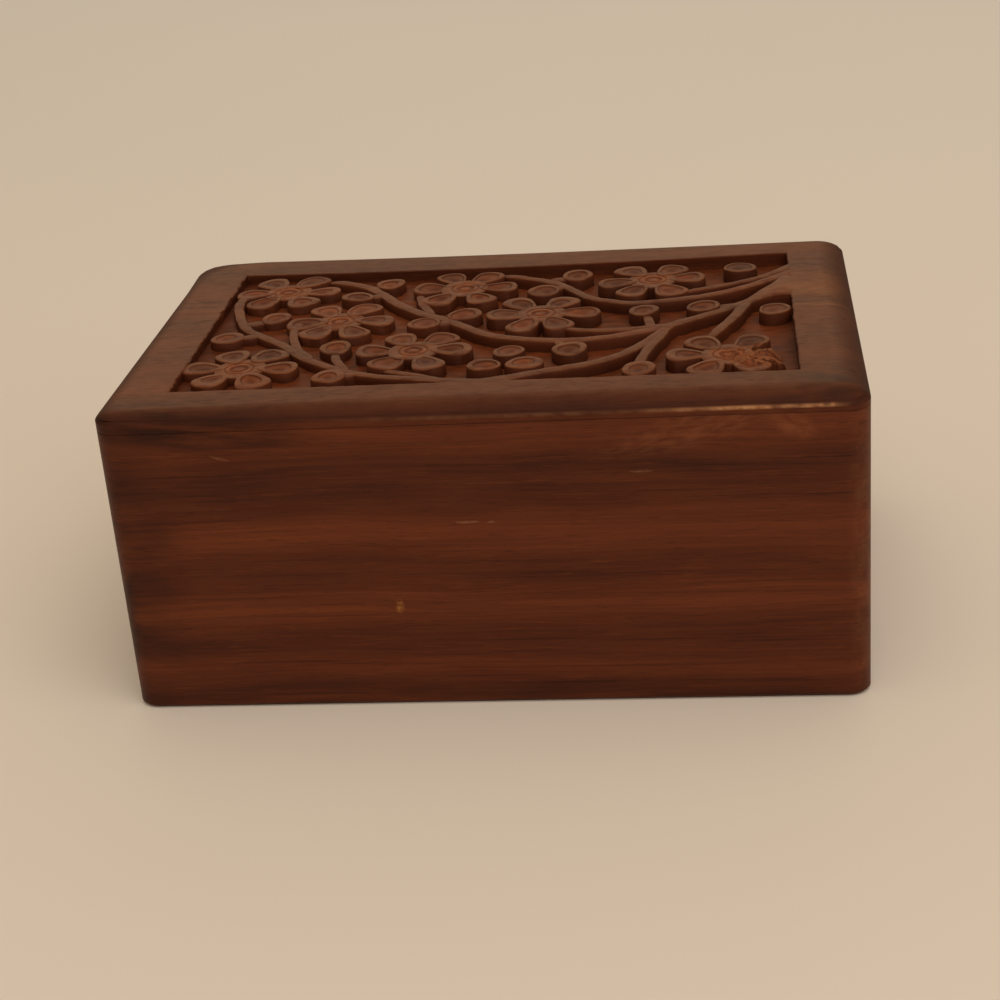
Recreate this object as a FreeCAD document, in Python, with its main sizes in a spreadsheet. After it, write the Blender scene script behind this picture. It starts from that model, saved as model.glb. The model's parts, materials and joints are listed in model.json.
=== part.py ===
"""Wooden trinket box with a carved lid on two small brass hinges.

Millimetres, +X to the right, +Y to the back, +Z up. The origin is in the middle of the
underside of the walls, and the carved lid faces up.
"""

import FreeCAD, Part
import math
import os
import re

# Driving dimensions in millimetres, each written once
SIZES = {
    # Whole box
    "box_length": 152.0,
    "box_depth": 100.0,
    "box_height": 66.0,
    "wall_thickness": 10.0,
    "corner_radius": 4.5,
    "seam_chamfer": 0.2,
    "foot_chamfer": 0.8,
    # How far a cut passes the face that it opens
    "cut_overrun": 2.0,
    # Tongues of the side walls, glued into the front and back walls
    "tongue_thickness": 4.0,
    "tongue_length": 4.0,
    "tongue_setback": 1.0,
    "tongue_end_gap": 0.2,
    # Base panel in its groove
    "panel_thickness": 5.0,
    "panel_rise": 3.0,
    "panel_groove": 4.0,
    "panel_edge_gap": 0.3,
    "panel_face_gap": 0.1,
    # Lid: a flange on the walls, and a plug that drops into the mouth
    "lid_edge": 4.0,
    "plug_depth": 6.0,
    "plug_clearance": 0.5,
    "plug_chamfer": 0.8,
    "ease_width": 6.0,
    "ease_drop": 2.6,
    # Bevels behind the hinge axis, which meet and stop the open lid
    "bevel_run": 1.0,
    "bevel_rise": 1.2,
    # Sunk panel of the lid and its carving
    "frame_side": 13.0,
    "frame_front": 12.5,
    "carving_depth": 3.0,
    "relief_root": 1.0,
    "petal_drop": 0.3,
    "petal_length": 7.7,
    "petal_width": 7.0,
    "petal_reach": 8.4,
    "petal_rim": 1.6,
    "petal_dish": 0.6,
    "flower_heart": 11.0,
    "heart_drop": 0.6,
    "flower_eye": 5.8,
    "eye_drop": 0.4,
    "stem_width": 3.0,
    "stem_drop": 0.5,
    "flare_length": 20.0,
    # Brass hinges
    "hinge_length": 20.0,
    "hinge_spacing": 76.0,
    "barrel_diameter": 2.2,
    "barrel_clearance": 0.2,
    "pin_diameter": 1.0,
    "pin_clearance": 0.05,
    "pin_chamfer": 0.15,
    "knuckle_gap": 0.2,
    "leaf_thickness": 0.8,
    "leaf_gap": 0.3,
    "leaf_margin": 1.0,
    "mortise_gap": 0.1,
    # Brass screws
    "screw_spread": 12.0,
    "screw_diameter": 1.4,
    "screw_head": 2.6,
    "screw_head_height": 0.6,
    "screw_point": 0.7,
    "screw_clearance": 0.05,
    "screw_cover": 0.95,
    "slot_width": 0.4,
    "slot_depth": 0.25,
    "wall_screw_length": 8.0,
}

# Places worked out from the sizes
PLACES = {
    "half_length": "box_length / 2",
    "half_depth": "box_depth / 2",
    "inside_length": "half_length - wall_thickness",
    "inside_depth": "half_depth - wall_thickness",
    "seam": "box_height - lid_edge",
    "groove_top": "panel_rise + panel_thickness + panel_face_gap",
    "tongue_outside": "inside_length + tongue_setback + tongue_thickness",
    "ease_radius": "(ease_width ^ 2 + ease_drop ^ 2) / (2 * ease_drop)",
    "ground": "box_height - carving_depth",
    "recess_length": "box_length - 2 * frame_side",
    "recess_width": "box_depth - 2 * frame_front",
    "axis_back": "half_depth - bevel_run",
    "leaf_width": "wall_thickness - bevel_run - leaf_margin",
    "leaf_depth": "leaf_gap / 2 + leaf_thickness",
    "screw_back": "axis_back - (leaf_width + barrel_diameter / 2) / 2",
    "lid_screw_length": "lid_edge - leaf_gap / 2 - screw_cover",
    "bevel_angle": "atan(bevel_rise / bevel_run)",
}

LEFT, RIGHT = -1, 1
FRONT, BACK = -1, 1
DOWN, UP = -1, 1
KNUCKLES = 5
PETALS = 6

# The carving is laid out in shares of the sunk panel: from its left side, then from its front
MIDDLE_SHARE = 0.5
FLOWER_SHARES = [
    (0.10, 0.83),
    (0.225, 0.54),
    (0.425, 0.80),
    (0.375, 0.27),
    (0.575, 0.54),
    (0.095, 0.175),
    (0.76, 0.805),
    (0.89, 0.15),
]
# Single buds and the three petals of the half-open flower, each with its turn in degrees
BUD_SHARES = [
    (0.285, 0.87, 100),
    (0.105, 0.59, 80),
    (0.04, 0.43, 20),
    (0.24, 0.315, 110),
    (0.25, 0.09, 10),
    (0.44, 0.56, 30),
    (0.375, 0.495, 150),
    (0.57, 0.745, 120),
    (0.625, 0.88, 70),
    (0.75, 0.53, 90),
    (0.85, 0.55, 30),
    (0.97, 0.50, 70),
    (0.915, 0.89, 40),
    (0.635, 0.235, 100),
    (0.75, 0.065, 80),
    (0.235, 0.76, 150),
    (0.535, 0.235, 80),
    (0.565, 0.14, 20),
    (0.50, 0.135, 160),
]
# Each stem: its width at the start and at the end in shares of the stem width, and its line
STEM_SHARES = [
    (1.5, 0.8, [(1.03, 0.845), (0.995, 0.805), (0.955, 0.755), (0.895, 0.685), (0.835, 0.64), (0.74, 0.61),
                (0.69, 0.635), (0.655, 0.67), (0.625, 0.74), (0.59, 0.82), (0.54, 0.875), (0.48, 0.92)]),
    (1.2, 0.65, [(1.02, 0.90), (0.975, 0.825), (0.935, 0.78), (0.875, 0.73), (0.81, 0.69)]),
    (8.0, 0.9, [(1.03, 0.715), (0.965, 0.655), (0.93, 0.59), (0.895, 0.535), (0.835, 0.455), (0.78, 0.39),
                (0.73, 0.35), (0.685, 0.325), (0.63, 0.315), (0.57, 0.33), (0.52, 0.36), (0.485, 0.395),
                (0.44, 0.475), (0.40, 0.545), (0.36, 0.595), (0.31, 0.695), (0.275, 0.79), (0.235, 0.87),
                (0.165, 0.93)]),
    (3.0, 0.9, [(0.47, -0.04), (0.54, 0.025), (0.60, 0.075), (0.665, 0.12), (0.71, 0.17), (0.745, 0.24),
                (0.775, 0.33), (0.80, 0.41), (0.84, 0.465)]),
    (3.0, 0.8, [(0.53, -0.03), (0.46, 0.015), (0.40, 0.045), (0.33, 0.08), (0.275, 0.13), (0.22, 0.205),
                (0.18, 0.275), (0.145, 0.36), (0.10, 0.44), (0.06, 0.52), (0.03, 0.66), (0.02, 0.765)]),
    (0.9, 0.7, [(0.205, 0.24), (0.175, 0.32), (0.155, 0.43), (0.15, 0.515), (0.165, 0.57)]),
    (0.8, 0.6, [(0.43, 0.05), (0.385, 0.09), (0.33, 0.12)]),
    (0.8, 0.7, [(0.385, 0.57), (0.36, 0.67), (0.345, 0.775)]),
    (0.9, 0.7, [(0.80, 0.41), (0.73, 0.385), (0.685, 0.385), (0.63, 0.395)]),
    (0.9, 0.7, [(0.935, 0.59), (0.91, 0.555), (0.86, 0.55)]),
    (1.1, 0.8, [(0.925, 0.58), (0.90, 0.45), (0.88, 0.37), (0.86, 0.29)]),
    (0.8, 0.7, [(0.765, 0.385), (0.76, 0.45), (0.75, 0.52)]),
    (0.8, 0.7, [(0.61, 0.318), (0.62, 0.28), (0.635, 0.24)]),
    (0.8, 0.7, [(0.275, 0.14), (0.25, 0.225), (0.24, 0.30)]),
]
# How quickly a stem loses the flare of its root, as a power of the way that is left
FLARE_POWER = 3

doc = FreeCAD.newDocument("TrinketBox")
sheet = doc.addObject("Spreadsheet::Sheet", "Sizes")
for row, (alias, number) in enumerate(SIZES.items(), start=1):
    sheet.set(f"A{row}", alias)
    sheet.set(f"B{row}", str(number))
    sheet.setAlias(f"B{row}", alias)
doc.recompute()
subparts = []


def formula(text):
    """Turns the named sizes and places in a text into references to the sheet."""
    def swap(match):
        word = match[0]
        if word in PLACES:
            return f"({formula(PLACES[word])})"
        return f"Sizes.{word}" if word in SIZES else word
    return re.sub(r"[a-z_]+", swap, text)


def value(text):
    """The number that a formula stands for now."""
    return float(sheet.evalExpression(formula(text)))


def across(side, inner, outer):
    """A span between two distances from the middle, on the low or the high side."""
    return (inner, outer) if side > 0 else (f"-({outer})", f"-({inner})")


def beyond(direction, level, depth):
    """A span that starts at a level and goes down or up from it."""
    return (level, f"{level} + {depth}") if direction > 0 else (f"{level} - ({depth})", level)


def place(item, x, y, z):
    """Binds an object's position to three formulas."""
    for letter, text in zip("xyz", (x, y, z)):
        item.setExpression(f"Placement.Base.{letter}", formula(text))
    return item


def block(name, x, y, z):
    """A box between a low and a high place along each axis."""
    box = doc.addObject("Part::Box", name)
    for side, (low, high) in zip(("Length", "Width", "Height"), (x, y, z)):
        box.setExpression(side, formula(f"({high}) - ({low})"))
    return place(box, x[0], y[0], z[0])


def rod(name, radius, length, start, turn):
    """A cylinder that starts at a place; the turn carries +Z to its direction."""
    cylinder = doc.addObject("Part::Cylinder", name)
    cylinder.Placement = FreeCAD.Placement(FreeCAD.Vector(), turn)
    cylinder.setExpression("Radius", formula(radius))
    cylinder.setExpression("Height", formula(length))
    return place(cylinder, *start)


def fuse(name, *shapes):
    """One object from several that meet."""
    joined = doc.addObject("Part::MultiFuse", name)
    joined.Shapes = list(shapes)
    joined.Refine = True
    return joined


def cut(name, body, *tools):
    """A body with one or more tools taken away."""
    result = doc.addObject("Part::Cut", name)
    result.Base = body
    result.Tool = tools[0] if len(tools) == 1 else fuse(f"{name}_tools", *tools)
    result.Refine = True
    return result


def ease(name, kind, body, size, wanted):
    """Rounds (Fillet) or bevels (Chamfer) the edges of a body that a test wants."""
    doc.recompute()
    amount = value(size)
    eased = doc.addObject(f"Part::{kind}", name)
    eased.Base = body
    eased.Edges = [
        (number, amount, amount)
        for number, edge in enumerate(body.Shape.Edges, start=1)
        if wanted(edge)
    ]
    return eased


def subpart(item, label):
    """Names a finished piece and puts it on the list that is written out."""
    item.Label = label
    subparts.append(item)
    return item


TO_X = FreeCAD.Rotation(FreeCAD.Vector(0, 1, 0), 90)
TO_Z = FreeCAD.Rotation()
TO_MINUS_Z = FreeCAD.Rotation(FreeCAD.Vector(1, 0, 0), 180)


def same(first, second):
    """Whether two lengths are equal to modelling accuracy."""
    return math.isclose(first, second, abs_tol=Part.Precision.confusion())


def upright_corner(edge, y_side):
    """Whether an edge is one of the upright outer corners on a side."""
    middle = edge.CenterOfMass
    at_end = same(abs(middle.x), value("half_length"))
    at_face = same(middle.y, y_side * value("half_depth"))
    return at_end and at_face and not same(edge.BoundBox.ZLength, 0)


def outline_at(edge, level, faces):
    """Whether an edge lies at a level on the outline of the box, on the faces that count."""
    box = edge.BoundBox
    if not (same(box.ZMin, level) and same(box.ZMax, level)):
        return False
    if "bent" in faces and not isinstance(edge.Curve, Part.Line):
        return True
    at_end = same(abs(edge.CenterOfMass.x), value("half_length"))
    at_face = same(abs(edge.CenterOfMass.y), value("half_depth"))
    return ("ends" in faces and at_end) or ("long" in faces and at_face)


def panel_room(name, x, y):
    """Room for the edge of the base panel."""
    return block(name, x, y, ("panel_rise", "groove_top"))


def long_wall(name, side):
    """The front or back board, grooved for the side walls and the base panel."""
    board = block(
        f"{name}_board",
        ("-half_length", "half_length"),
        across(side, "inside_depth", "half_depth"),
        ("0", "seam"),
    )
    rounded = ease(
        f"{name}_corners", "Fillet", board, "corner_radius",
        lambda edge: upright_corner(edge, side),
    )
    top_faces = {"ends", "long", "bent"} if side == FRONT else {"ends"}
    seamed = ease(
        f"{name}_seam", "Chamfer", rounded, "seam_chamfer",
        lambda edge: outline_at(edge, value("seam"), top_faces),
    )
    footed = ease(
        f"{name}_foot", "Chamfer", seamed, "foot_chamfer",
        lambda edge: outline_at(edge, 0, {"ends", "long", "bent"}),
    )
    grooves = [
        panel_room(
            f"{name}_panel_groove",
            ("-(inside_length + panel_groove)", "inside_length + panel_groove"),
            across(side, "inside_depth - cut_overrun", "inside_depth + panel_groove"),
        )
    ]
    for end in (LEFT, RIGHT):
        grooves.append(block(
            f"{name}_tongue_groove",
            across(end, "inside_length + tongue_setback", "tongue_outside"),
            across(side, "inside_depth - cut_overrun", "inside_depth + tongue_length + tongue_end_gap"),
            ("-cut_overrun", "seam + cut_overrun"),
        ))
    return cut(f"{name}_grooved", footed, *grooves)


def side_wall(name, side):
    """The left or right board, with a tongue at each end and a groove for the base panel."""
    board = block(
        f"{name}_board",
        across(side, "inside_length", "half_length"),
        ("-inside_depth", "inside_depth"),
        ("0", "seam"),
    )
    seamed = ease(
        f"{name}_seam", "Chamfer", board, "seam_chamfer",
        lambda edge: outline_at(edge, value("seam"), {"ends"}),
    )
    footed = ease(
        f"{name}_foot", "Chamfer", seamed, "foot_chamfer",
        lambda edge: outline_at(edge, 0, {"ends"}),
    )
    tongues = [
        block(
            f"{name}_tongue",
            across(side, "inside_length + tongue_setback", "tongue_outside"),
            across(end, "inside_depth - cut_overrun", "inside_depth + tongue_length"),
            ("0", "seam"),
        )
        for end in (FRONT, BACK)
    ]
    groove = panel_room(
        f"{name}_panel_groove",
        across(side, "inside_length - cut_overrun", "inside_length + panel_groove"),
        ("-half_depth", "half_depth"),
    )
    return cut(name, fuse(f"{name}_tongued", footed, *tongues), groove)


def base_panel():
    """The floor of the box, loose in its groove by the edge gap."""
    reach_x = "inside_length + panel_groove - panel_edge_gap"
    reach_y = "inside_depth + panel_groove - panel_edge_gap"
    return block(
        "base_panel",
        (f"-({reach_x})", reach_x),
        (f"-({reach_y})", reach_y),
        ("panel_rise", "panel_rise + panel_thickness"),
    )


def hinge_middle(side):
    """Where a hinge stands along the back."""
    return f"{side} * hinge_spacing / 2"


def screw_place(side, end):
    """Where a screw of a hinge stands along the back."""
    return f"{hinge_middle(side)} + {end} * screw_spread / 2"


def leaf_face(direction):
    """The level of the open face of a hinge leaf, below (DOWN) or above (UP) the seam."""
    return f"seam + {direction} * leaf_gap / 2"


def screw_form(name, side, end, direction, length, spare):
    """A countersunk screw with its head on a leaf's face, grown by the spare to make its hole."""
    turn = TO_Z if direction == UP else TO_MINUS_Z
    start = (screw_place(side, end), "screw_back", leaf_face(direction))
    head = doc.addObject("Part::Cone", f"{name}_head")
    head.Placement = FreeCAD.Placement(FreeCAD.Vector(), turn)
    head.setExpression("Radius1", formula(f"screw_head / 2 + {spare}"))
    head.setExpression("Radius2", formula(f"screw_diameter / 2 + {spare}"))
    head.setExpression("Height", formula("screw_head_height"))
    place(head, *start)
    shank_length = f"{length} - screw_point"
    shank = rod(f"{name}_shank", f"screw_diameter / 2 + {spare}", shank_length, start, turn)
    point = doc.addObject("Part::Cone", f"{name}_point")
    point.Placement = FreeCAD.Placement(FreeCAD.Vector(), turn)
    point.setExpression("Radius1", formula(f"screw_diameter / 2 + {spare}"))
    point.setExpression("Radius2", formula(f"screw_diameter / 4 + {spare}"))
    point.setExpression("Height", formula(f"screw_point + {spare}"))
    place(point, start[0], start[1], f"{start[2]} + {direction} * ({shank_length})")
    return fuse(name, head, shank, point)


def screw(name, side, end, direction, length):
    """One brass screw with a slot across its head."""
    form = screw_form(f"{name}_form", side, end, direction, length, "0")
    middle = screw_place(side, end)
    slot = block(
        f"{name}_slot",
        (f"{middle} - screw_head", f"{middle} + screw_head"),
        ("screw_back - slot_width / 2", "screw_back + slot_width / 2"),
        beyond(direction, leaf_face(direction), "slot_depth"),
    )
    return cut(name, form, slot)


def screw_length(direction):
    """Long screws go down into the wall and short ones up into the lid."""
    return "lid_screw_length" if direction == UP else "wall_screw_length"


def hinge_cuts(name, direction):
    """What the wall (DOWN) or the lid (UP) loses to the hinges: mortises, barrel room and holes."""
    cuts = []
    for side in (LEFT, RIGHT):
        middle = hinge_middle(side)
        reach = "hinge_length / 2 + mortise_gap"
        ends = (f"{middle} - ({reach})", f"{middle} + {reach}")
        level, far = ("seam - cut_overrun", "seam + leaf_depth")
        if direction == DOWN:
            level, far = ("seam - (leaf_depth)", "seam + cut_overrun")
        cuts.append(block(
            f"{name}_mortise", ends,
            ("axis_back - leaf_width - mortise_gap", "half_depth + cut_overrun"), (level, far),
        ))
        cuts.append(rod(
            f"{name}_barrel_room", "barrel_diameter / 2 + barrel_clearance", f"2 * ({reach})",
            (ends[0], "axis_back", "seam"), TO_X,
        ))
        for end in (LEFT, RIGHT):
            cuts.append(screw_form(
                f"{name}_screw_hole", side, end, direction, screw_length(direction), "screw_clearance",
            ))
    return cuts


def back_bevel(name, direction):
    """The slanted cut behind the hinge axis, on the wall (DOWN) or the lid (UP)."""
    side = "bevel_run + bevel_rise + cut_overrun"
    bevel = block(
        name,
        ("-(half_length + cut_overrun)", "half_length + cut_overrun"),
        ("axis_back", f"axis_back + {side}"),
        ("seam", f"seam + {side}"),
    )
    turn = "-bevel_angle" if direction == DOWN else "bevel_angle - 90 deg"
    bevel.setExpression("Placement.Rotation.Axis.x", "1")
    bevel.setExpression("Placement.Rotation.Axis.z", "0")
    bevel.setExpression("Placement.Rotation.Angle", formula(turn))
    return bevel


def eased_edges():
    """The four rounded slopes that lead from the flat of the lid down to its arris."""
    depth = "ease_radius + cut_overrun"
    level = "box_height - ease_radius"
    turned = FreeCAD.Rotation(FreeCAD.Vector(1, 0, 0), -90)
    slopes = []
    for side in (-1, 1):
        for axis in "xy":
            edge, run = ("half_length", "half_depth") if axis == "x" else ("half_depth", "half_length")
            over = across(side, f"{edge} - ease_width", f"{edge} + cut_overrun")
            along = (f"-({run} + cut_overrun)", f"{run} + cut_overrun")
            spans = (over, along) if axis == "x" else (along, over)
            corner = block("slope_corner", *spans, (level, f"{level} + {depth}"))
            centre = f"{side} * ({edge} - ease_width)"
            start = (centre, along[0]) if axis == "x" else (along[0], centre)
            round_core = rod(
                "slope_round", "ease_radius", f"2 * ({run} + cut_overrun)", (*start, level),
                turned if axis == "x" else TO_X,
            )
            slopes.append(cut("slope", corner, round_core))
    return slopes


def panel_point(share):
    """A point of the sunk panel, at the foot of the relief, from its two shares."""
    x = (share[0] - MIDDLE_SHARE) * value("recess_length")
    y = (share[1] - MIDDLE_SHARE) * value("recess_width")
    return FreeCAD.Vector(x, y, value("ground - relief_root"))


def oval(length, width, height):
    """An upright oval pad, centred on the origin."""
    ring = Part.Ellipse(FreeCAD.Vector(), length / 2, width / 2).toShape()
    return Part.Face(Part.Wire(ring)).extrude(FreeCAD.Vector(0, 0, height))


def petal():
    """A petal or bud: an oval pad with a raised rim round a dished middle."""
    height = value("carving_depth + relief_root - petal_drop")
    pad = oval(value("petal_length"), value("petal_width"), height)
    dish = oval(
        value("petal_length - 2 * petal_rim"), value("petal_width - 2 * petal_rim"), height
    )
    dish.translate(FreeCAD.Vector(0, 0, height - value("petal_dish")))
    return pad.cut(dish)


def placed(shape, point, angle, reach):
    """A copy of a shape, moved out by a reach, turned and set at a point."""
    copy = shape.copy()
    copy.translate(FreeCAD.Vector(reach, 0, 0))
    copy.rotate(FreeCAD.Vector(), FreeCAD.Vector(0, 0, 1), angle)
    copy.translate(point)
    return copy


def stem(start_share, end_share, line_shares):
    """A tapering ridge along a smooth line through the given points."""
    points = [panel_point(share) for share in line_shares]
    line = Part.BSplineCurve()
    line.interpolate(points)
    upright = FreeCAD.Vector(0, 0, 1)
    banks = ([], [])
    way, last = 0, points[0]
    for point in points:
        way, last = way + point.distanceToPoint(last), point
        flare_share = max(0, 1 - way / value("flare_length")) ** FLARE_POWER
        half = (end_share + (start_share - end_share) * flare_share) * value("stem_width") / 2
        across_line = line.tangent(line.parameter(point))[0].cross(upright).normalize()
        banks[0].append(point + across_line * half)
        banks[1].append(point - across_line * half)
    edges = []
    for bank in banks:
        curve = Part.BSplineCurve()
        curve.interpolate(bank)
        edges.append(curve.toShape())
    for number in (0, -1):
        edges.append(Part.makeLine(banks[0][number], banks[1][number]))
    face = Part.Face(Part.Wire(Part.__sortEdges__(edges)))
    return face.extrude(FreeCAD.Vector(0, 0, value("carving_depth + relief_root - stem_drop")))


def carving():
    """The relief of the lid: flowers, buds and the stems that join them to the frame."""
    pad = petal()
    rounds = [
        Part.makeCylinder(value(f"{breadth} / 2"), value(f"carving_depth + relief_root - {drop}"))
        for breadth, drop in (("flower_heart", "heart_drop"), ("flower_eye", "eye_drop"))
    ]
    forms = [stem(*shares) for shares in STEM_SHARES]
    for share in FLOWER_SHARES:
        forms += [placed(form, panel_point(share), 0, 0) for form in rounds]
        for number in range(PETALS):
            angle = 360 * number / PETALS
            forms.append(placed(pad, panel_point(share), angle, value("petal_reach")))
    for along, back, angle in BUD_SHARES:
        forms.append(placed(pad, panel_point((along, back)), angle, 0))
    relief = doc.addObject("Part::Feature", "lid_relief")
    relief.Shape = forms[0].multiFuse(forms[1:])
    relief.Placement = FreeCAD.Placement()
    return relief


def carved_lid():
    """The lid board, with its plug, eased edge, sunk panel and carving."""
    flange = block(
        "lid_flange", ("-half_length", "half_length"), ("-half_depth", "half_depth"), ("seam", "box_height"),
    )
    rounded = ease(
        "lid_corners", "Fillet", flange, "corner_radius",
        lambda edge: upright_corner(edge, FRONT) or upright_corner(edge, BACK),
    )
    plug = block(
        "lid_plug",
        ("-(inside_length - plug_clearance)", "inside_length - plug_clearance"),
        ("-(inside_depth - plug_clearance)", "inside_depth - plug_clearance"),
        ("seam - plug_depth", "box_height - carving_depth - relief_root"),
    )
    led_in = ease(
        "lid_plug_lead", "Chamfer", plug, "plug_chamfer",
        lambda edge: same(edge.BoundBox.ZMax, value("seam - plug_depth")),
    )
    recess = block(
        "lid_recess",
        ("-recess_length / 2", "recess_length / 2"),
        ("-recess_width / 2", "recess_width / 2"),
        ("ground", "box_height + cut_overrun"),
    )
    board = fuse("lid_board", rounded, led_in)
    sunk = cut("lid_sunk", board, recess, *eased_edges())
    hinged = cut("lid_hinged", sunk, back_bevel("lid_bevel", UP), *hinge_cuts("lid", UP))
    return fuse("carved_lid", hinged, carving())


def knuckle_place(side, number):
    """Where a knuckle's share of the hinge starts."""
    return f"{hinge_middle(side)} - hinge_length / 2 + {number} * hinge_length / {KNUCKLES}"


def hinge_leaf(name, side, direction):
    """A brass leaf with its own knuckles, clear of the other leaf's."""
    middle = hinge_middle(side)
    plate = block(
        f"{name}_plate",
        (f"{middle} - hinge_length / 2", f"{middle} + hinge_length / 2"),
        ("axis_back - leaf_width", "axis_back"),
        beyond(direction, leaf_face(direction), "leaf_thickness"),
    )
    own, clear = [], []
    for number in range(KNUCKLES):
        start = knuckle_place(side, number)
        if (number % 2 == 0) == (direction == DOWN):
            own.append(rod(
                f"{name}_knuckle", "barrel_diameter / 2", f"hinge_length / {KNUCKLES} - knuckle_gap",
                (f"{start} + knuckle_gap / 2", "axis_back", "seam"), TO_X,
            ))
        else:
            clear.append(rod(
                f"{name}_clearance", "barrel_diameter / 2 + knuckle_gap", f"hinge_length / {KNUCKLES}",
                (start, "axis_back", "seam"), TO_X,
            ))
    cleared = cut(f"{name}_cleared", plate, *clear)
    bore = rod(
        f"{name}_bore", "pin_diameter / 2 + pin_clearance", "hinge_length + 2 * cut_overrun",
        (f"{middle} - hinge_length / 2 - cut_overrun", "axis_back", "seam"), TO_X,
    )
    holes = [
        screw_form(f"{name}_hole", side, end, direction, screw_length(direction), "screw_clearance")
        for end in (LEFT, RIGHT)
    ]
    return cut(name, fuse(f"{name}_joined", cleared, *own), bore, *holes)


def hinge_pin(name, side):
    """The pin that both leaves turn on."""
    wire = rod(
        f"{name}_wire", "pin_diameter / 2", "hinge_length",
        (f"{hinge_middle(side)} - hinge_length / 2", "axis_back", "seam"), TO_X,
    )
    return ease(name, "Chamfer", wire, "pin_chamfer", lambda edge: edge.isClosed())


subpart(long_wall("front", FRONT), "front_wall")
subpart(
    cut("back", long_wall("back_blank", BACK), back_bevel("back_bevel", DOWN), *hinge_cuts("back", DOWN)),
    "back_wall",
)
subpart(side_wall("left", LEFT), "left_wall")
subpart(side_wall("right", RIGHT), "right_wall")
subpart(base_panel(), "base_panel")
subpart(carved_lid(), "carved_lid")
for hinge_side, hinge_name in ((LEFT, "left_hinge"), (RIGHT, "right_hinge")):
    subpart(hinge_pin(f"{hinge_name}_rod", hinge_side), f"{hinge_name}_pin")
    for leaf_side, leaf_name in ((DOWN, "wall"), (UP, "lid")):
        leaf_set = f"{hinge_name}_{leaf_name}"
        subpart(hinge_leaf(f"{leaf_set}_brass", hinge_side, leaf_side), f"{leaf_set}_leaf")
        for screw_end, screw_name in ((LEFT, "screw_1"), (RIGHT, "screw_2")):
            subpart(
                screw(f"{leaf_set}_{screw_name}_brass", hinge_side, screw_end, leaf_side,
                      screw_length(leaf_side)),
                f"{leaf_set}_{screw_name}",
            )

doc.recompute()
for item in doc.Objects:
    if "Invalid" in item.State or "Error" in item.State:
        raise RuntimeError(f"{item.Name} ({item.Label}) failed: {item.State}")
os.makedirs("parts", exist_ok=True)
for item in subparts:
    if item.Shape.isNull() or not item.Shape.isValid() or len(item.Shape.Solids) != 1:
        raise RuntimeError(f"{item.Label} isn't one valid solid")
for item in subparts:
    item.Shape.exportStep(f"parts/{item.Label}.step")
    print(f"{item.Label}: {item.Shape.Volume:.1f} mm3")
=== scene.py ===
"""Looks of the wooden trinket box: carved lid, oiled boards, aged brass and a plain studio.

New forms are modelled in millimetres in the construction's own frame and brought to metres
when they become an object.
"""

import json
import logging
import math
import random
from dataclasses import dataclass, field, replace
from enum import Enum
from itertools import accumulate
from typing import Any, Callable, Iterable, Sequence

import bmesh
import bpy
from bmesh.types import BMEdge, BMesh, BMVert
from bpy.types import Material, Node, NodeSocket, NodeTree, Object
from mathutils import Matrix, Vector, noise


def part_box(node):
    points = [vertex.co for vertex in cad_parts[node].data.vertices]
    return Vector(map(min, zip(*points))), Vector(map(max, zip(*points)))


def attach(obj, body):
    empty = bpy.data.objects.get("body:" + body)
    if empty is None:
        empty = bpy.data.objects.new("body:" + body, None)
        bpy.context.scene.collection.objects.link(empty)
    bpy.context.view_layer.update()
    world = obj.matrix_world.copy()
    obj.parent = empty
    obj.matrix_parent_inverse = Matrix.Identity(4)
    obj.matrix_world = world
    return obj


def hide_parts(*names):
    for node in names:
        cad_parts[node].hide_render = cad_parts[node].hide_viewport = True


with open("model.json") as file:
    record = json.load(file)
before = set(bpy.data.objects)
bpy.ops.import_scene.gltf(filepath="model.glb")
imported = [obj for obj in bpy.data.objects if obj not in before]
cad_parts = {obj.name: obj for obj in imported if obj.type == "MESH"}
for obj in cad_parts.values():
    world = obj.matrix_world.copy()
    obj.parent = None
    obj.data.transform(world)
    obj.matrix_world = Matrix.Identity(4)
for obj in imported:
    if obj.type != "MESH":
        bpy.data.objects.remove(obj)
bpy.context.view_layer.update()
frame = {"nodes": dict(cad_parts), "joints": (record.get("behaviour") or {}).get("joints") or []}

LOG = logging.getLogger("trinket_box")
MM = 0.001
# Vertex layers: wear with a painted sheen, grime with painted shade, and fresh cut wood
WORN_AND_SHEEN = "worn"
GRIME_AND_SHADE = "grime"
FRESH = "fresh"
# Start of all chance values, so that each run gives the same forms
SEED = 7
# How many finer layers a noise has
PLAIN = 2.0
MEDIUM = 3.0
RICH = 4.0
RICHEST = 5.0
# Points of the unit square beyond this lie on its edge
EDGE = 0.999

Colour = tuple[float, float, float, float]
Triple = tuple[float, float, float]
Share = tuple[float, float]


class Grain(Enum):
    """Which way the fibres of a board run, as the turn of the pattern about Z in degrees."""

    ALONG_THE_BOX = 0.0
    ACROSS_THE_BOX = 90.0


def linear(code: str) -> Colour:
    """Turns an sRGB colour, written as "#RRGGBB", into linear light with a full alpha."""
    parts = [int(code[i:i + 2], 16) / 255 for i in (1, 3, 5)]
    light = [p / 12.92 if p <= 0.04045 else ((p + 0.055) / 1.055) ** 2.4 for p in parts]
    return (*light, 1.0)


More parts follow.
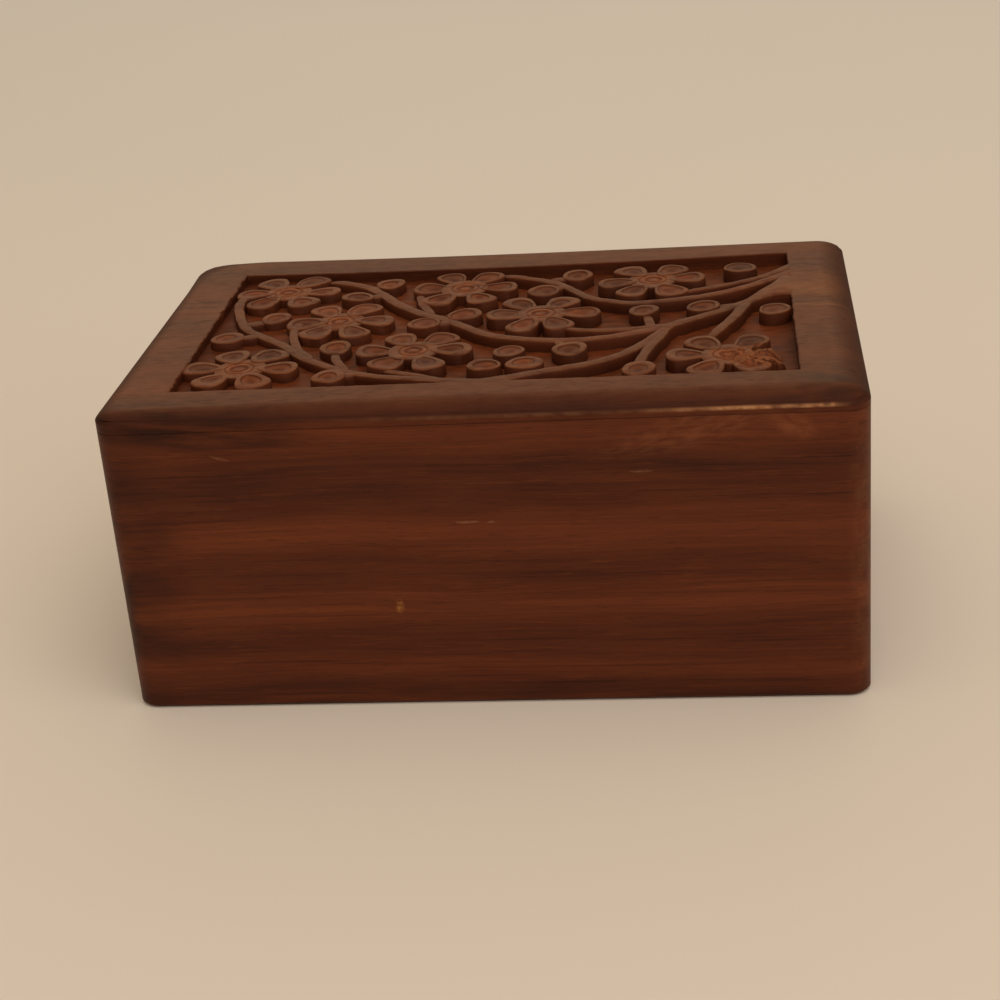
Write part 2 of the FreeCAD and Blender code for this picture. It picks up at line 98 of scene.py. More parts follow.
def add(tree: NodeTree, kind: str, inputs: dict[str | int, Any] | None = None,
        stops: Iterable[tuple[float, Colour]] = (), **settings: Any) -> Node:
    """Adds a shader node with its settings and links.

    Args:
        tree: The node tree that takes the node.
        kind: The node's type without its "ShaderNode" prefix.
        inputs: What goes into each socket: a constant, another node or one of its outputs.
        stops: Places and colours of a colour ramp.
        settings: The node's own properties.

    Returns:
        The new node.
    """
    node = tree.nodes.new("ShaderNode" + kind)
    for name, setting in settings.items():
        setattr(node, name, setting)
    for key, source in (inputs or {}).items():
        live = [s for s in node.inputs if s.enabled]
        target = live[key] if isinstance(key, int) else next(s for s in live if s.name == key)
        if isinstance(source, Node):
            source = next(s for s in source.outputs if s.enabled)
        if isinstance(source, NodeSocket):
            tree.links.new(source, target)
        else:
            target.default_value = source
    for number, (place, colour) in enumerate(stops):
        ramp = node.color_ramp.elements
        stop = ramp[number] if number < len(ramp) else ramp.new(place)
        stop.position, stop.color = place, colour
    return node


def new_material(name: str) -> tuple[Material, NodeTree]:
    """Makes an empty node material, and returns it with its cleared node tree."""
    material = bpy.data.materials.new(name)
    material.use_nodes = True
    material.node_tree.nodes.clear()
    return material, material.node_tree


def speckle(tree: NodeTree, point: Node, size_mm: Triple, detail: float,
            span: Share) -> Node:
    """Noise stretched to a real size, as a mask from 0 to 1.

    Args:
        tree: The node tree.
        point: Where on the piece, in millimetres.
        size_mm: Size of the marks along each axis.
        detail: How many finer layers of noise are added.
        span: The noise values that become 0 and 1.

    Returns:
        The node that gives the mask.
    """
    spread = add(tree, "Mapping", {"Vector": point, "Scale": tuple(1 / s for s in size_mm)})
    cloud = add(tree, "TexNoise", {"Vector": spread, "Scale": 1.0, "Detail": detail})
    return add(tree, "MapRange", {"Value": cloud, "From Min": span[0], "From Max": span[1]})


def blended(tree: NodeTree, share: Any, under: Any, over: Any) -> Node:
    """Lays a share of the colour over on the colour under."""
    return add(tree, "Mix", {"Factor": share, "A": under, "B": over}, data_type="RGBA")


def chained(tree: NodeTree, how: str, *terms: Any) -> Node:
    """Chains a two-term operation, such as "ADD", over nodes, sockets or numbers."""
    total = terms[0]
    for term in terms[1:]:
        total = add(tree, "Math", {0: total, 1: term}, operation=how)
    return total


def scaled(tree: NodeTree, source: Any, share: Any) -> Node:
    """A value times a share."""
    return chained(tree, "MULTIPLY", source, share)


@dataclass(frozen=True)
class Patch:
    """A place where a board looks different: a dark sweep, a pale curl, a scratch or flecks.

    Lengths are in millimetres in the frame of the box.
    """

    centre: Triple
    reach: Triple
    tint: str
    share: float
    marks_mm: Triple
    slope: float = 0.0
    # It is full within this share of its reach; the noise values that become its marks
    core: float = 0.35
    marks_span: Share = (0.36, 0.62)

    def laid_on(self, tree: NodeTree, here: Node, colour: Any) -> Node:
        """Lays the patch over a board's colour.

        Args:
            tree: The node tree.
            here: The place in the frame of the box, in millimetres.
            colour: What gives the board's colour.

        Returns:
            The node that gives the new colour.
        """
        away = tuple(-c for c in self.centre)
        moved = add(tree, "Mapping", {"Vector": here, "Location": away})
        level = add(tree, "Mapping", {"Vector": moved, "Rotation": (0.0, math.radians(self.slope), 0.0)})
        near = add(tree, "Mapping", {"Vector": level, "Scale": tuple(1 / r for r in self.reach)})
        away_share = add(tree, "VectorMath", {0: near}, operation="LENGTH")
        inside = add(tree, "MapRange", {"Value": away_share, "From Min": 1.0, "From Max": self.core},
                     interpolation_type="SMOOTHSTEP")
        marks = speckle(tree, level, self.marks_mm, MEDIUM, self.marks_span)
        shown = chained(tree, "MULTIPLY", inside, marks, self.share)
        return blended(tree, shown, colour, linear(self.tint))


@dataclass(frozen=True)
class Rosewood:
    """Indian rosewood (sheesham), planed, oiled and rubbed by hand for years.

    The eye sees a dark red-brown board with blacker growth bands, thin dark lines along the
    fibres, short open pores, and a soft satin gloss that breaks up over them.
    """

    name: str
    grain: Grain = Grain.ALONG_THE_BOX
    cut_from_mm: Triple = (0.0, 0.0, 0.0)
    dark: str = "#2A1009"
    middle: str = "#552714"
    light: str = "#7C3F21"
    line_tint: str = "#2A0F06"
    # Pale tint of wear, which also paints a sheen on the frame, the tops of the relief and the arris
    worn_and_sheen_tint: str = "#B8865E"
    # Dark tint of grime, which also paints shade in hollows, on walls, down the eased edge and at the seam
    grime_and_shade_tint: str = "#2B0F08"
    fresh_tint: str = "#9C4C1E"
    roughness: float = 0.46
    ior: float = 1.24
    figure_mm: Triple = (95.0, 15.0, 6.5)
    streak_mm: Triple = (64.0, 2.0, 0.9)
    line_mm: Triple = (17.0, 0.8, 0.55)
    # Real pores are 0.2 mm wide; they are drawn half as wide again so that they show
    pore_mm: Triple = (4.0, 0.32, 0.3)
    fibre_mm: Triple = (7.0, 0.6, 0.4)
    mottle_mm: Triple = (9.0, 7.0, 6.0)
    patchiness_mm: Triple = (3.0, 1.6, 1.6)
    # How far the growth bands drift off their level, and over what lengths
    drift_mm: float = 7.0
    drift_run_mm: Triple = (60.0, 24.0, 20.0)
    # Noise values that become 0 and 1 in each mask
    even_span: Share = (0.2, 0.8)
    figure_span: Share = (0.28, 0.72)
    streak_span: Share = (0.25, 0.75)
    mottle_span: Share = (0.35, 0.68)
    line_span: Share = (0.58, 0.76)
    pore_span: Share = (0.60, 0.70)
    patchiness_span: Share = (0.30, 0.62)
    # How much each layer shows
    band_share: float = 0.7
    streak_share: float = 0.28
    mottle_share: float = 0.2
    fibre_share: float = 0.26
    pore_share: float = 0.3
    # The dark lines show this much everywhere, and more where they crowd in the dark bands
    line_share: float = 0.3
    crowd_share: float = 0.5
    crowd_span: Share = (0.6, 0.2)
    # Depth of a line next to a pore, height of the uneven surface, and how much they dull the gloss
    line_depth: float = 0.35
    uneven_height: float = 1.5
    hollow_gloss: float = 0.12
    grime_and_shade_gloss: float = 0.3
    bump: float = 0.5
    bump_mm: float = 0.06
    bands: tuple[Share, ...] = ()
    band_height_mm: float = 66.0
    patches: tuple[Patch, ...] = ()

    def material(self) -> Material:
        """Makes the board's material, with colour, gloss and relief from its nodes."""
        material, tree = new_material(self.name)
        place = add(tree, "TexCoord").outputs["Object"]
        point = add(tree, "Mapping", {
            "Vector": place,
            "Location": self.cut_from_mm,
            "Rotation": (0.0, 0.0, math.radians(self.grain.value)),
            "Scale": (1 / MM,) * 3,
        })
        here = add(tree, "Mapping", {"Vector": place, "Scale": (1 / MM,) * 3})
        lines = speckle(tree, point, self.line_mm, MEDIUM, self.line_span)
        pores = speckle(tree, point, self.pore_mm, PLAIN, self.pore_span)
        colour = self.boards(tree, point, lines, pores)
        for patch in self.patches:
            colour = patch.laid_on(tree, here, colour)
        worn, grime, fresh = (
            add(tree, "Attribute", attribute_name=name).outputs["Fac"] for name in (WORN_AND_SHEEN, GRIME_AND_SHADE, FRESH)
        )
        # Patchy noise that breaks up the fresh wood and the painted sheen with wear
        patchiness = speckle(tree, point, self.patchiness_mm, RICH, self.patchiness_span)
        colour = blended(tree, scaled(tree, fresh, patchiness), colour, linear(self.fresh_tint))
        # Painted sheen with wear, pale on the frame, the tops of the relief and the arris
        colour = blended(tree, scaled(tree, worn, patchiness), colour, linear(self.worn_and_sheen_tint))
        # Painted shade with grime, dark in hollows, on walls, down the eased edge and at the seam
        colour = blended(tree, grime, colour, linear(self.grime_and_shade_tint))
        hollow = chained(tree, "ADD", scaled(tree, lines, self.line_depth), pores)
        gloss = chained(tree, "ADD", scaled(tree, hollow, self.hollow_gloss),
                        scaled(tree, grime, self.grime_and_shade_gloss), self.roughness)
        uneven = speckle(tree, point, self.mottle_mm, MEDIUM, self.even_span)
        height = chained(tree, "SUBTRACT", scaled(tree, uneven, self.uneven_height), hollow)
        bump = add(tree, "Bump", {"Strength": self.bump, "Distance": self.bump_mm * MM, "Height": height})
        shader = add(tree, "BsdfPrincipled", {
            "Base Color": colour, "Roughness": gloss, "IOR": self.ior, "Normal": bump,
        })
        add(tree, "OutputMaterial", {"Surface": shader})
        return material

    def boards(self, tree: NodeTree, point: Node, lines: Node,
               pores: Node) -> Node:
        """Colours the growth bands, the dark lines, the pale fibres and the pores.

        Args:
            tree: The node tree.
            point: Where on the piece, in millimetres along the fibres.
            lines: Mask of the dark lines.
            pores: Mask of the pores.

        Returns:
            The node that gives the colour.
        """
        drift = speckle(tree, point, self.drift_run_mm, PLAIN, self.even_span)
        lifted = add(tree, "CombineXYZ", {"Z": scaled(tree, drift, self.drift_mm)})
        bent = add(tree, "VectorMath", {0: point, 1: lifted}, operation="ADD")
        figure = speckle(tree, bent, self.figure_mm, RICH, self.figure_span)
        if self.bands:
            level = add(tree, "SeparateXYZ", {"Vector": bent}).outputs["Z"]
            share = chained(tree, "DIVIDE", level, self.band_height_mm)
            stops = [(at, (tone, tone, tone, 1.0)) for at, tone in self.bands]
            placed = add(tree, "ValToRGB", {"Fac": share}, stops)
            placed.color_ramp.interpolation = "B_SPLINE"
            figure = self.mixed(tree, figure, placed, self.band_share)
        streaks = speckle(tree, bent, self.streak_mm, RICH, self.streak_span)
        figure = self.mixed(tree, figure, streaks, self.streak_share)
        shades = ((0.0, linear(self.dark)), (0.5, linear(self.middle)), (1.0, linear(self.light)))
        colour = add(tree, "ValToRGB", {"Fac": figure}, shades)
        mottle = speckle(tree, bent, self.mottle_mm, RICH, self.mottle_span)
        colour = blended(tree, scaled(tree, mottle, self.mottle_share), colour, linear(self.light))
        crowd = add(tree, "MapRange", {
            "Value": figure, "From Min": self.crowd_span[0], "From Max": self.crowd_span[1],
        })
        crowded = chained(tree, "ADD", scaled(tree, crowd, self.crowd_share), self.line_share)
        colour = blended(tree, scaled(tree, lines, crowded), colour, linear(self.line_tint))
        fibres = speckle(tree, point, self.fibre_mm, PLAIN, self.line_span)
        colour = blended(tree, scaled(tree, fibres, self.fibre_share), colour, linear(self.light))
        return blended(tree, scaled(tree, pores, self.pore_share), colour, linear(self.line_tint))

    def mixed(self, tree: NodeTree, first: Any, second: Any, share: float) -> Node:
        """Two masks in one, with a share of the second."""
        return chained(tree, "ADD", scaled(tree, first, 1 - share), scaled(tree, second, share))


@dataclass(frozen=True)
class AgedBrass:
    """Rolled brass, unlacquered, gone dull in the air.

    The eye sees a warm yellow metal with brown patina in clouds and fine marks from rolling.
    """

    name: str
    bright: str = "#B08A4A"
    patina: str = "#5E4325"
    roughness: float = 0.34
    cloud_mm: float = 4.0
    # Rolling marks are finer than the render can show, so they are drawn at 0.15 mm
    mark_mm: Triple = (3.0, 0.15, 0.15)
    cloud_span: Share = (0.40, 0.78)
    mark_span: Share = (0.3, 0.7)
    # How much patina and marks dull the gloss
    cloud_gloss: float = 0.22
    mark_gloss: float = 0.08
    bump: float = 0.4
    bump_mm: float = 0.02

    def material(self) -> Material:
        """Makes the brass, with patina, gloss and rolling marks from its nodes."""
        material, tree = new_material(self.name)
        place = add(tree, "TexCoord").outputs["Object"]
        point = add(tree, "Mapping", {"Vector": place, "Scale": (1 / MM,) * 3})
        cloud = speckle(tree, point, (self.cloud_mm,) * 3, RICHEST, self.cloud_span)
        marks = speckle(tree, point, self.mark_mm, PLAIN, self.mark_span)
        colour = blended(tree, cloud, linear(self.bright), linear(self.patina))
        gloss = chained(tree, "ADD", scaled(tree, cloud, self.cloud_gloss),
                        scaled(tree, marks, self.mark_gloss), self.roughness)
        bump = add(tree, "Bump", {"Strength": self.bump, "Distance": self.bump_mm * MM, "Height": marks})
        shader = add(tree, "BsdfPrincipled", {
            "Base Color": colour, "Metallic": 1.0, "Roughness": gloss, "Normal": bump,
        })
        add(tree, "OutputMaterial", {"Surface": shader})
        return material


def to_object(form: BMesh, name: str, material: Material,
              sharp_degrees: float) -> Object:
    """Turns a form in millimetres into an object in metres.

    Args:
        form: The bmesh, which is freed.
        name: The piece's name.
        material: Its finish.
        sharp_degrees: Edges that turn more than this stay sharp.

    Returns:
        The object, at the origin, with its place in its mesh.
    """
    bmesh.ops.scale(form, vec=(MM,) * 3, verts=form.verts)
    mesh = bpy.data.meshes.new(name)
    form.to_mesh(mesh)
    form.free()
    mesh.shade_smooth()
    mesh.set_sharp_from_angle(angle=math.radians(sharp_degrees))
    mesh.materials.append(material)
    piece = bpy.data.objects.new(name, mesh)
    bpy.context.scene.collection.objects.link(piece)
    return piece


# Layout of the carving in shares of the sunk panel, from its left side and from its front
FLOWER_SHARES: tuple[Share, ...] = (
    (0.10, 0.83), (0.225, 0.54), (0.425, 0.80), (0.375, 0.27),
    (0.575, 0.54), (0.095, 0.175), (0.76, 0.805), (0.89, 0.15),
)
# Buds, and the three petals of the half-open flower: place, and turn in degrees
BUD_SHARES: tuple[Triple, ...] = (
    (0.285, 0.87, 100), (0.105, 0.59, 80), (0.04, 0.43, 20), (0.24, 0.315, 110),
    (0.25, 0.09, 10), (0.44, 0.56, 30), (0.375, 0.495, 150), (0.57, 0.745, 120),
    (0.625, 0.88, 70), (0.75, 0.53, 90), (0.85, 0.55, 30), (0.97, 0.50, 70),
    (0.915, 0.89, 40), (0.635, 0.235, 100), (0.75, 0.065, 80), (0.235, 0.76, 150),
)
HALF_FLOWER_SHARES: tuple[Triple, ...] = ((0.535, 0.235, 80), (0.565, 0.14, 20), (0.50, 0.135, 160))
# Each stem: its width at the start and at the end in shares of the stem width, and its line
STEM_SHARES: tuple[tuple[float, float, tuple[Share, ...]], ...] = (
    (1.5, 0.8, ((1.03, 0.845), (0.995, 0.805), (0.955, 0.755), (0.895, 0.685), (0.835, 0.64), (0.74, 0.61),
                (0.69, 0.635), (0.655, 0.67), (0.625, 0.74), (0.59, 0.82), (0.54, 0.875), (0.48, 0.92))),
    (1.2, 0.65, ((1.02, 0.90), (0.975, 0.825), (0.935, 0.78), (0.875, 0.73), (0.81, 0.69))),
    (8.0, 0.9, ((1.03, 0.715), (0.965, 0.655), (0.93, 0.59), (0.895, 0.535), (0.835, 0.455), (0.78, 0.39),
                (0.73, 0.35), (0.685, 0.325), (0.63, 0.315), (0.57, 0.33), (0.52, 0.36), (0.485, 0.395),
                (0.44, 0.475), (0.40, 0.545), (0.36, 0.595), (0.31, 0.695), (0.275, 0.79), (0.235, 0.87),
                (0.165, 0.93))),
    (3.0, 0.9, ((0.47, -0.04), (0.54, 0.025), (0.60, 0.075), (0.665, 0.12), (0.71, 0.17), (0.745, 0.24),
                (0.775, 0.33), (0.80, 0.41), (0.84, 0.465))),
    (3.0, 0.8, ((0.53, -0.03), (0.46, 0.015), (0.40, 0.045), (0.33, 0.08), (0.275, 0.13), (0.22, 0.205),
                (0.18, 0.275), (0.145, 0.36), (0.10, 0.44), (0.06, 0.52), (0.03, 0.66), (0.022, 0.765),
                (0.04, 0.83))),
    (0.9, 0.7, ((0.205, 0.24), (0.175, 0.32), (0.155, 0.43), (0.15, 0.515), (0.165, 0.57))),
    (0.8, 0.6, ((0.44, 0.026), (0.39, 0.08), (0.35, 0.115), (0.33, 0.15))),
    (0.8, 0.7, ((0.385, 0.57), (0.36, 0.67), (0.345, 0.775))),
    (0.9, 0.7, ((0.80, 0.41), (0.73, 0.385), (0.685, 0.385), (0.645, 0.395), (0.61, 0.43))),
    (0.9, 0.7, ((0.935, 0.59), (0.91, 0.555), (0.86, 0.55))),
    (1.1, 0.8, ((0.925, 0.58), (0.90, 0.45), (0.88, 0.37), (0.86, 0.29))),
    (0.8, 0.7, ((0.765, 0.385), (0.76, 0.45), (0.75, 0.52))),
    (0.8, 0.7, ((0.61, 0.318), (0.62, 0.28), (0.635, 0.24))),
    (0.8, 0.7, ((0.275, 0.13), (0.25, 0.225), (0.24, 0.30))),
    (0.9, 0.8, ((0.79, 0.37), (0.768, 0.255), (0.752, 0.14), (0.75, 0.075))),
)
# Short necks between a stem and a bud: where each one starts and ends
NECK_SHARES: tuple[tuple[Share, Share], ...] = (
    ((0.095, 0.45), (0.045, 0.43)), ((0.055, 0.54), (0.10, 0.585)), ((0.285, 0.77), (0.24, 0.76)),
    ((0.25, 0.84), (0.28, 0.868)), ((0.405, 0.54), (0.435, 0.558)), ((0.425, 0.50), (0.38, 0.495)),
    ((0.605, 0.785), (0.575, 0.75)), ((0.575, 0.84), (0.62, 0.878)), ((0.30, 0.11), (0.255, 0.092)),
)


# Half a stem's section from its foot, which has no depth of its own, to its crown:
# across as a share of the half width, depth below the crown, wear with a painted sheen, and grime with
# painted shade, darkest at the foot
STEM_SECTION: tuple[tuple[float, float | None, float, float], ...] = (
    (1.1, None, 0.0, 0.65), (1.0, 1.1, 0.0, 0.3), (0.97, 0.45, 0.0, 0.3),
    (0.84, 0.16, 0.12, 0.0), (0.45, 0.03, 0.12, 0.0),
)
STEM_CROWN = (0.0, 0.0, 0.12, 0.0)
# Rings round the arris: inset and rise in shares of its ease, a painted highlight with wear, and painted
# shade on the rounded edge
ARRIS_RINGS: tuple[tuple[float, float, float, float], ...] = (
    (2.2, 1.6, 0.0, 0.72), (0.6, 0.2, 1.0, 0.6), (0.0, -1.0, 1.0, 0.5), (0.0, -2.2, 0.0, 0.1),
)
# Rings up the panel's wall: share of its depth, and grime with painted shade, darker lower down
WALL_RINGS: tuple[Share, ...] = ((0.5, 0.4), (0.93, 0.1))


def wear_and_light_layers(form: BMesh) -> list[Any]:
    """The layers for wear with a painted sheen, grime with painted shade, and fresh wood of a form, made
    where they are missing.
    """
    layers = form.verts.layers.float
    return [layers.get(name) or layers.new(name) for name in (WORN_AND_SHEEN, GRIME_AND_SHADE, FRESH)]


@dataclass(frozen=True)
class Ring:
    """One ring of a carved pad: its share of the pad's size, its height in millimetres, its wear with a
    painted sheen, its grime with painted shade and its fresh wood.
    """

    share: float
    height: float
    worn: float
    grime: float
    fresh: float = 0.0


# From the brink of a petal over its broad rim and the cut round its hollow to the hollow's dark middle: the
# rim has a painted sheen, the cut and the middle painted shade
PETAL_RINGS: tuple[Ring, ...] = (
    Ring(0.97, 0.18, 0.12, 0.00, 0.1), Ring(0.90, 0.28, 0.17, 0.00, 0.1), Ring(0.65, 0.28, 0.14, 0.00, 0.1),
    Ring(0.60, 0.12, 0.00, 0.42, 0.2), Ring(0.52, 0.08, 0.04, 0.08, 0.4), Ring(0.38, 0.02, 0.03, 0.08, 0.6),
    Ring(0.16, -0.12, 0.00, 0.34, 0.6),
)
# From the brink of a flower's heart to the fine groove, the ring and the dot of its eye: the raised rings
# have a painted sheen, the grooves painted shade
HEART_RINGS: tuple[Ring, ...] = (
    Ring(0.96, 0.18, 0.14, 0.00), Ring(0.61, 0.24, 0.16, 0.00, 0.3), Ring(0.57, 0.08, 0.00, 0.22, 0.3),
    Ring(0.54, 0.10, 0.00, 0.18, 0.3), Ring(0.50, 0.24, 0.14, 0.00, 0.4), Ring(0.38, 0.24, 0.10, 0.00, 0.5),
    Ring(0.33, 0.02, 0.00, 0.26, 0.3), Ring(0.23, 0.02, 0.00, 0.24, 0.3), Ring(0.18, 0.18, 0.08, 0.00, 0.4),
    Ring(0.08, 0.22, 0.12, 0.00, 0.4),
)


@dataclass
class CarvedLid:
    """The lid: a board with an eased edge, a sunk panel and a vine carved in it.

    Sizes are in millimetres. The board's outer sizes come from the construction.
    """

    finish: Rosewood
    seam: float = 62.0
    corner_radius: float = 4.5
    flat_radius: float = 2.6
    # The far left corner is worn rounder than the others
    worn_radius: float = 16.0
    ease_width: float = 6.0
    ease_drop: float = 2.6
    ease_steps: int = 7
    # Painted shade with grime down the eased edge, painted shade at the seam, and a painted sheen with wear
    # on the flat frame
    ease_grime_and_shade: float = 0.72
    seam_shade: Share = (0.1, 0.3)
    frame_worn_and_sheen: float = 0.08
    # How much of the ease is missing at the far left corner, and how far the near one follows it
    crisp_share: float = 0.65
    front_crisp_share: float = 0.76
    # From here on the ease fades, in the unit square: to the left, and to the back
    crisp_from: Share = (0.3, -0.6)
    corner_power: int = 3
    arris_ease: float = 0.26
    edge_break: float = 0.06
    frame_side: float = 13.0
    frame_front: float = 12.5
    # Outsets of the panel's cut edge and of the straight line round it
    lip_outsets: Share = (0.25, 1.2)
    # The panel's far edge bows inwards by this much in the middle
    far_bow: float = 2.0
    carving_depth: float = 3.0
    plug_reach: tuple[float, float] = (65.5, 39.5)
    plug_chamfer: float = 0.8
    ground_steps: tuple[int, int] = (210, 125)
    gouge_mm: Share = (4.2, 2.4)
    gouge_depth: float = 0.35
    gouge_level: float = 0.4
    # The scoops turn and lie higher or lower with a slow drift of this length
    gouge_drift_mm: float = 9.0
    gouge_skew: Share = (0.5, 0.05)
    gouge_drift_depth: float = 0.12
    # The panel is cut less deep on the left, by this much, from here to the left over this run
    left_lift: float = 0.8
    lift_from: float = 10.0
    lift_run: float = 60.0
    # Grime with painted shade, and fresh wood, on the ground, and how far from the walls more painted shade
    # lies
    ground_grime_and_shade: float = 0.2
    wall_shade: float = 0.3
    shade_reach: float = 5.0
    ground_fresh: float = 0.3
    # How far the cut edges stray from their lines, slowly and quickly
    hand_wobble: float = 0.16
    left_wobble: float = 0.38
    slow_mm: float = 6.0
    quick_mm: float = 1.7
    # A painted highlight with wear on the front arris along the box: where it is faint, turns bright and ends
    faint_highlight_and_wear: float = 0.24
    faint_from: float = -32.0
    faint_run: float = 80.0
    bright_from: float = 24.0
    bright_run: float = 30.0
    highlight_and_wear_end: float = 72.5
    end_run: float = 5.0
    least_highlight_and_wear: float = 0.02
    side_highlight_and_wear: float = 0.35
    nick_mm: float = 4.0
    nick_highlight_and_wear: Share = (0.9, 0.4)
    # Cuts for the hinges, as in the construction
    cut_overrun: float = 2.0
    mortise_gap: float = 0.1
    barrel_room: float = 1.3
    barrel_sides: int = 24
    bevel_side: float = 8.0
    bevel_slope: float = 1.2
    petal: tuple[float, float] = (7.7, 7.0)
    # A petal's inner half is longer than its outer half, so that it runs up to the eye
    petal_stretch: float = 1.4
    petal_reach: float = 8.4
    # How petals differ: size, taper, turn in degrees, reach, lean, and drift of the hollow along and across
    size_spread: Share = (0.92, 1.05)
    petal_taper: Share = (0.28, 0.40)
    bud_taper: Share = (0.05, 0.2)
    turn_spread: float = 5.0
    reach_spread: Share = (0.94, 1.06)
    lean_spread: float = 0.04
    drift_along: Share = (-1.3, 0.1)
    drift_across: float = 0.5
    # How their hollows differ: depth, width and fresh wood
    hollow_spreads: tuple[Share, ...] = ((0.6, 1.5), (0.88, 1.26), (0.0, 0.9))
    pad_splay: float = 1.03
    # Grime with painted shade at the top and at the foot of a petal's wall
    pad_grime_and_shade: Share = (0.3, 0.65)
    petal_drop: float = 0.3
    # Rings within this share of a petal belong to its hollow
    hollow_share: float = 0.66
    petal_sides: int = 32
    petals: int = 6
    heart: float = 11.0
    heart_drop: float = 0.36
    heart_drift: float = 0.4
    # The chipped flower: the middle of the damage in shares of the panel, and how far it spreads
    chipped_share: Share = (0.94, 0.13)
    chipped_reach: float = 8.5
    # Here the tip of a petal has broken away
    broken_share: Share = (0.99, 0.15)
    broken_reach: float = 5.0
    # Length and width of its torn fibres
    fibre_mm: tuple[float, float] = (1.5, 0.6)
    torn_depth: float = 0.9
    torn_level: float = 0.2
    torn_cuts: int = 2
    # How far the knife strays, over what length, and how much of that goes up and down
    knife_wander: float = 0.18
    knife_mm: float = 2.6
    knife_lift: float = 0.25
    stem_width: float = 3.0
    # A stem's crown drops by this much over a run from the panel's wall
    stem_drop: float = 0.45
    drop_run: float = 9.0
    # The relief stays this much below the top of the board
    crown_gap: float = 0.005
    flare_length: float = 20.0
    flare_power: float = 3.0
    # A stem ends under what it carries: over this length it dives by so much
    dive_length: float = 4.5
    dive: float = 0.6
    end_narrowing: float = 0.45
    # It starts at half its width inside what it grows from
    opening_share: float = 0.5
    opening_length: float = 4.0
    neck_widths: Share = (1.0, 0.9)
    root: float = 0.6
    line_steps: int = 9
    chance: random.Random = field(default_factory=lambda: random.Random(SEED))

    def __post_init__(self) -> None:
        """Reads the board's outer sizes from the construction."""
        low, high = (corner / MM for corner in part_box("carved_lid"))
        self.half = (high.x, high.y)
        self.top = high.z
        self.underside = low.z
        self.ground = self.top - self.carving_depth
        self.recess = (self.half[0] - self.frame_side, self.half[1] - self.frame_front)

    def build(self) -> list[Object]:
        """Builds and dresses the board and its carving, and returns both on their body."""
        material = self.finish.material()
        board = to_object(self.board(), "lid_board", material, 32)
        self.cut_for_hinges(board)
        carving = to_object(self.carving(), "lid_carving", material, 38)
        for piece in (board, carving):
            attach(piece, "lid")
        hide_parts("carved_lid")
        return [board, carving]

    def board(self) -> BMesh:
        """Grows the board from the gouged ground of its panel, ring by ring, as one closed shell."""
        form = bmesh.new()
        along, back = self.ground_steps
        bmesh.ops.create_grid(form, x_segments=along, y_segments=back, size=1.0)
        square = form.verts.layers.float_vector.new("square")
        worn, grime, fresh = wear_and_light_layers(form)
        for vert in form.verts:
            vert[square] = vert.co
            vert.co = self.panel_place(vert.co, 0.0, 0.0)
            vert.co.z = self.ground + self.gouged(vert.co)
            # Painted shade with grime over the ground, and more painted shade near the walls
            near = max(0.0, 1 - self.wall_room(vert.co) / self.shade_reach)
            vert[grime] = self.ground_grime_and_shade + self.wall_shade * near
            vert[fresh] = self.ground_fresh
        rim = [edge for edge in form.edges if edge.is_boundary]

        def grow(place: Callable[[Vector], Vector], rubbed_and_sheen: float, dirt_and_shade: float) -> None:
            """Extrudes the open rim and puts the new ring in its place."""
            nonlocal rim
            grown = bmesh.ops.extrude_edge_only(form, edges=rim)["geom"]
            rim = [item for item in grown if isinstance(item, BMEdge)]
            for vert in (item for item in grown if isinstance(item, BMVert)):
                vert.co = place(vert[square])
                # On the arris the pale stripe is a painted highlight with wear, and it clears the painted
                # shade there
                highlight_and_wear = self.arris_highlight_and_wear(vert.co) if rubbed_and_sheen > self.frame_worn_and_sheen else 1.0
                vert[worn] = rubbed_and_sheen * highlight_and_wear
                vert[grime] = dirt_and_shade if highlight_and_wear == 1.0 else dirt_and_shade * (1 - highlight_and_wear)
                vert[fresh] = 0.0

        for level, dirt_and_shade in WALL_RINGS:
            z = self.ground + level * self.carving_depth
            grow(lambda at, z=z: self.hand_cut(at, 0.0, z), 0.0, dirt_and_shade)
        for outset in self.lip_outsets:
            grow(lambda at, o=outset: self.hand_cut(at, o, self.top), self.frame_worn_and_sheen, 0.0)
        radius = (self.ease_width ** 2 + self.ease_drop ** 2) / (2 * self.ease_drop)
        for step in range(self.ease_steps):
            share = step / self.ease_steps
            out = self.ease_width * share
            fall = radius - math.sqrt(radius ** 2 - out ** 2)
            # Down the eased edge the painted sheen fades and painted shade with grime grows
            rubbed_and_sheen = self.frame_worn_and_sheen * (1 - share)
            grow(lambda at, s=share, f=fall: self.eased(at, s, f), rubbed_and_sheen, self.ease_grime_and_shade * share)
        for inset, rise, rubbed_and_sheen, dirt_and_shade in ARRIS_RINGS:
            grow(lambda at, i=inset, r=rise: self.arris(at, i, r), rubbed_and_sheen, dirt_and_shade)
        # Painted shade at the seam: light just above it and darker in it
        light, dark = self.seam_shade
        small, low = self.edge_break, self.underside
        for inset, level, dirt_and_shade in ((0.0, self.seam + small, light), (small, self.seam, dark)):
            grow(lambda at, i=inset, z=level: self.outline(at, i, self.corner_radius, z), 0.0, dirt_and_shade)
        for inset, level in ((0.0, self.seam), (0.0, low + self.plug_chamfer), (self.plug_chamfer, low)):
            grow(lambda at, i=inset, z=level: self.plug_place(at, i, z), 0.0, light)
        bmesh.ops.contextual_create(form, geom=rim)
        bmesh.ops.recalc_face_normals(form, faces=form.faces)
        return form

    def plug_place(self, at: Vector, inset: float, level: float) -> Vector:
        """A point of the rim under the lid from the unit square, at an inset from its outside."""
        return Vector((at.x * (self.plug_reach[0] - inset), at.y * (self.plug_reach[1] - inset), level))

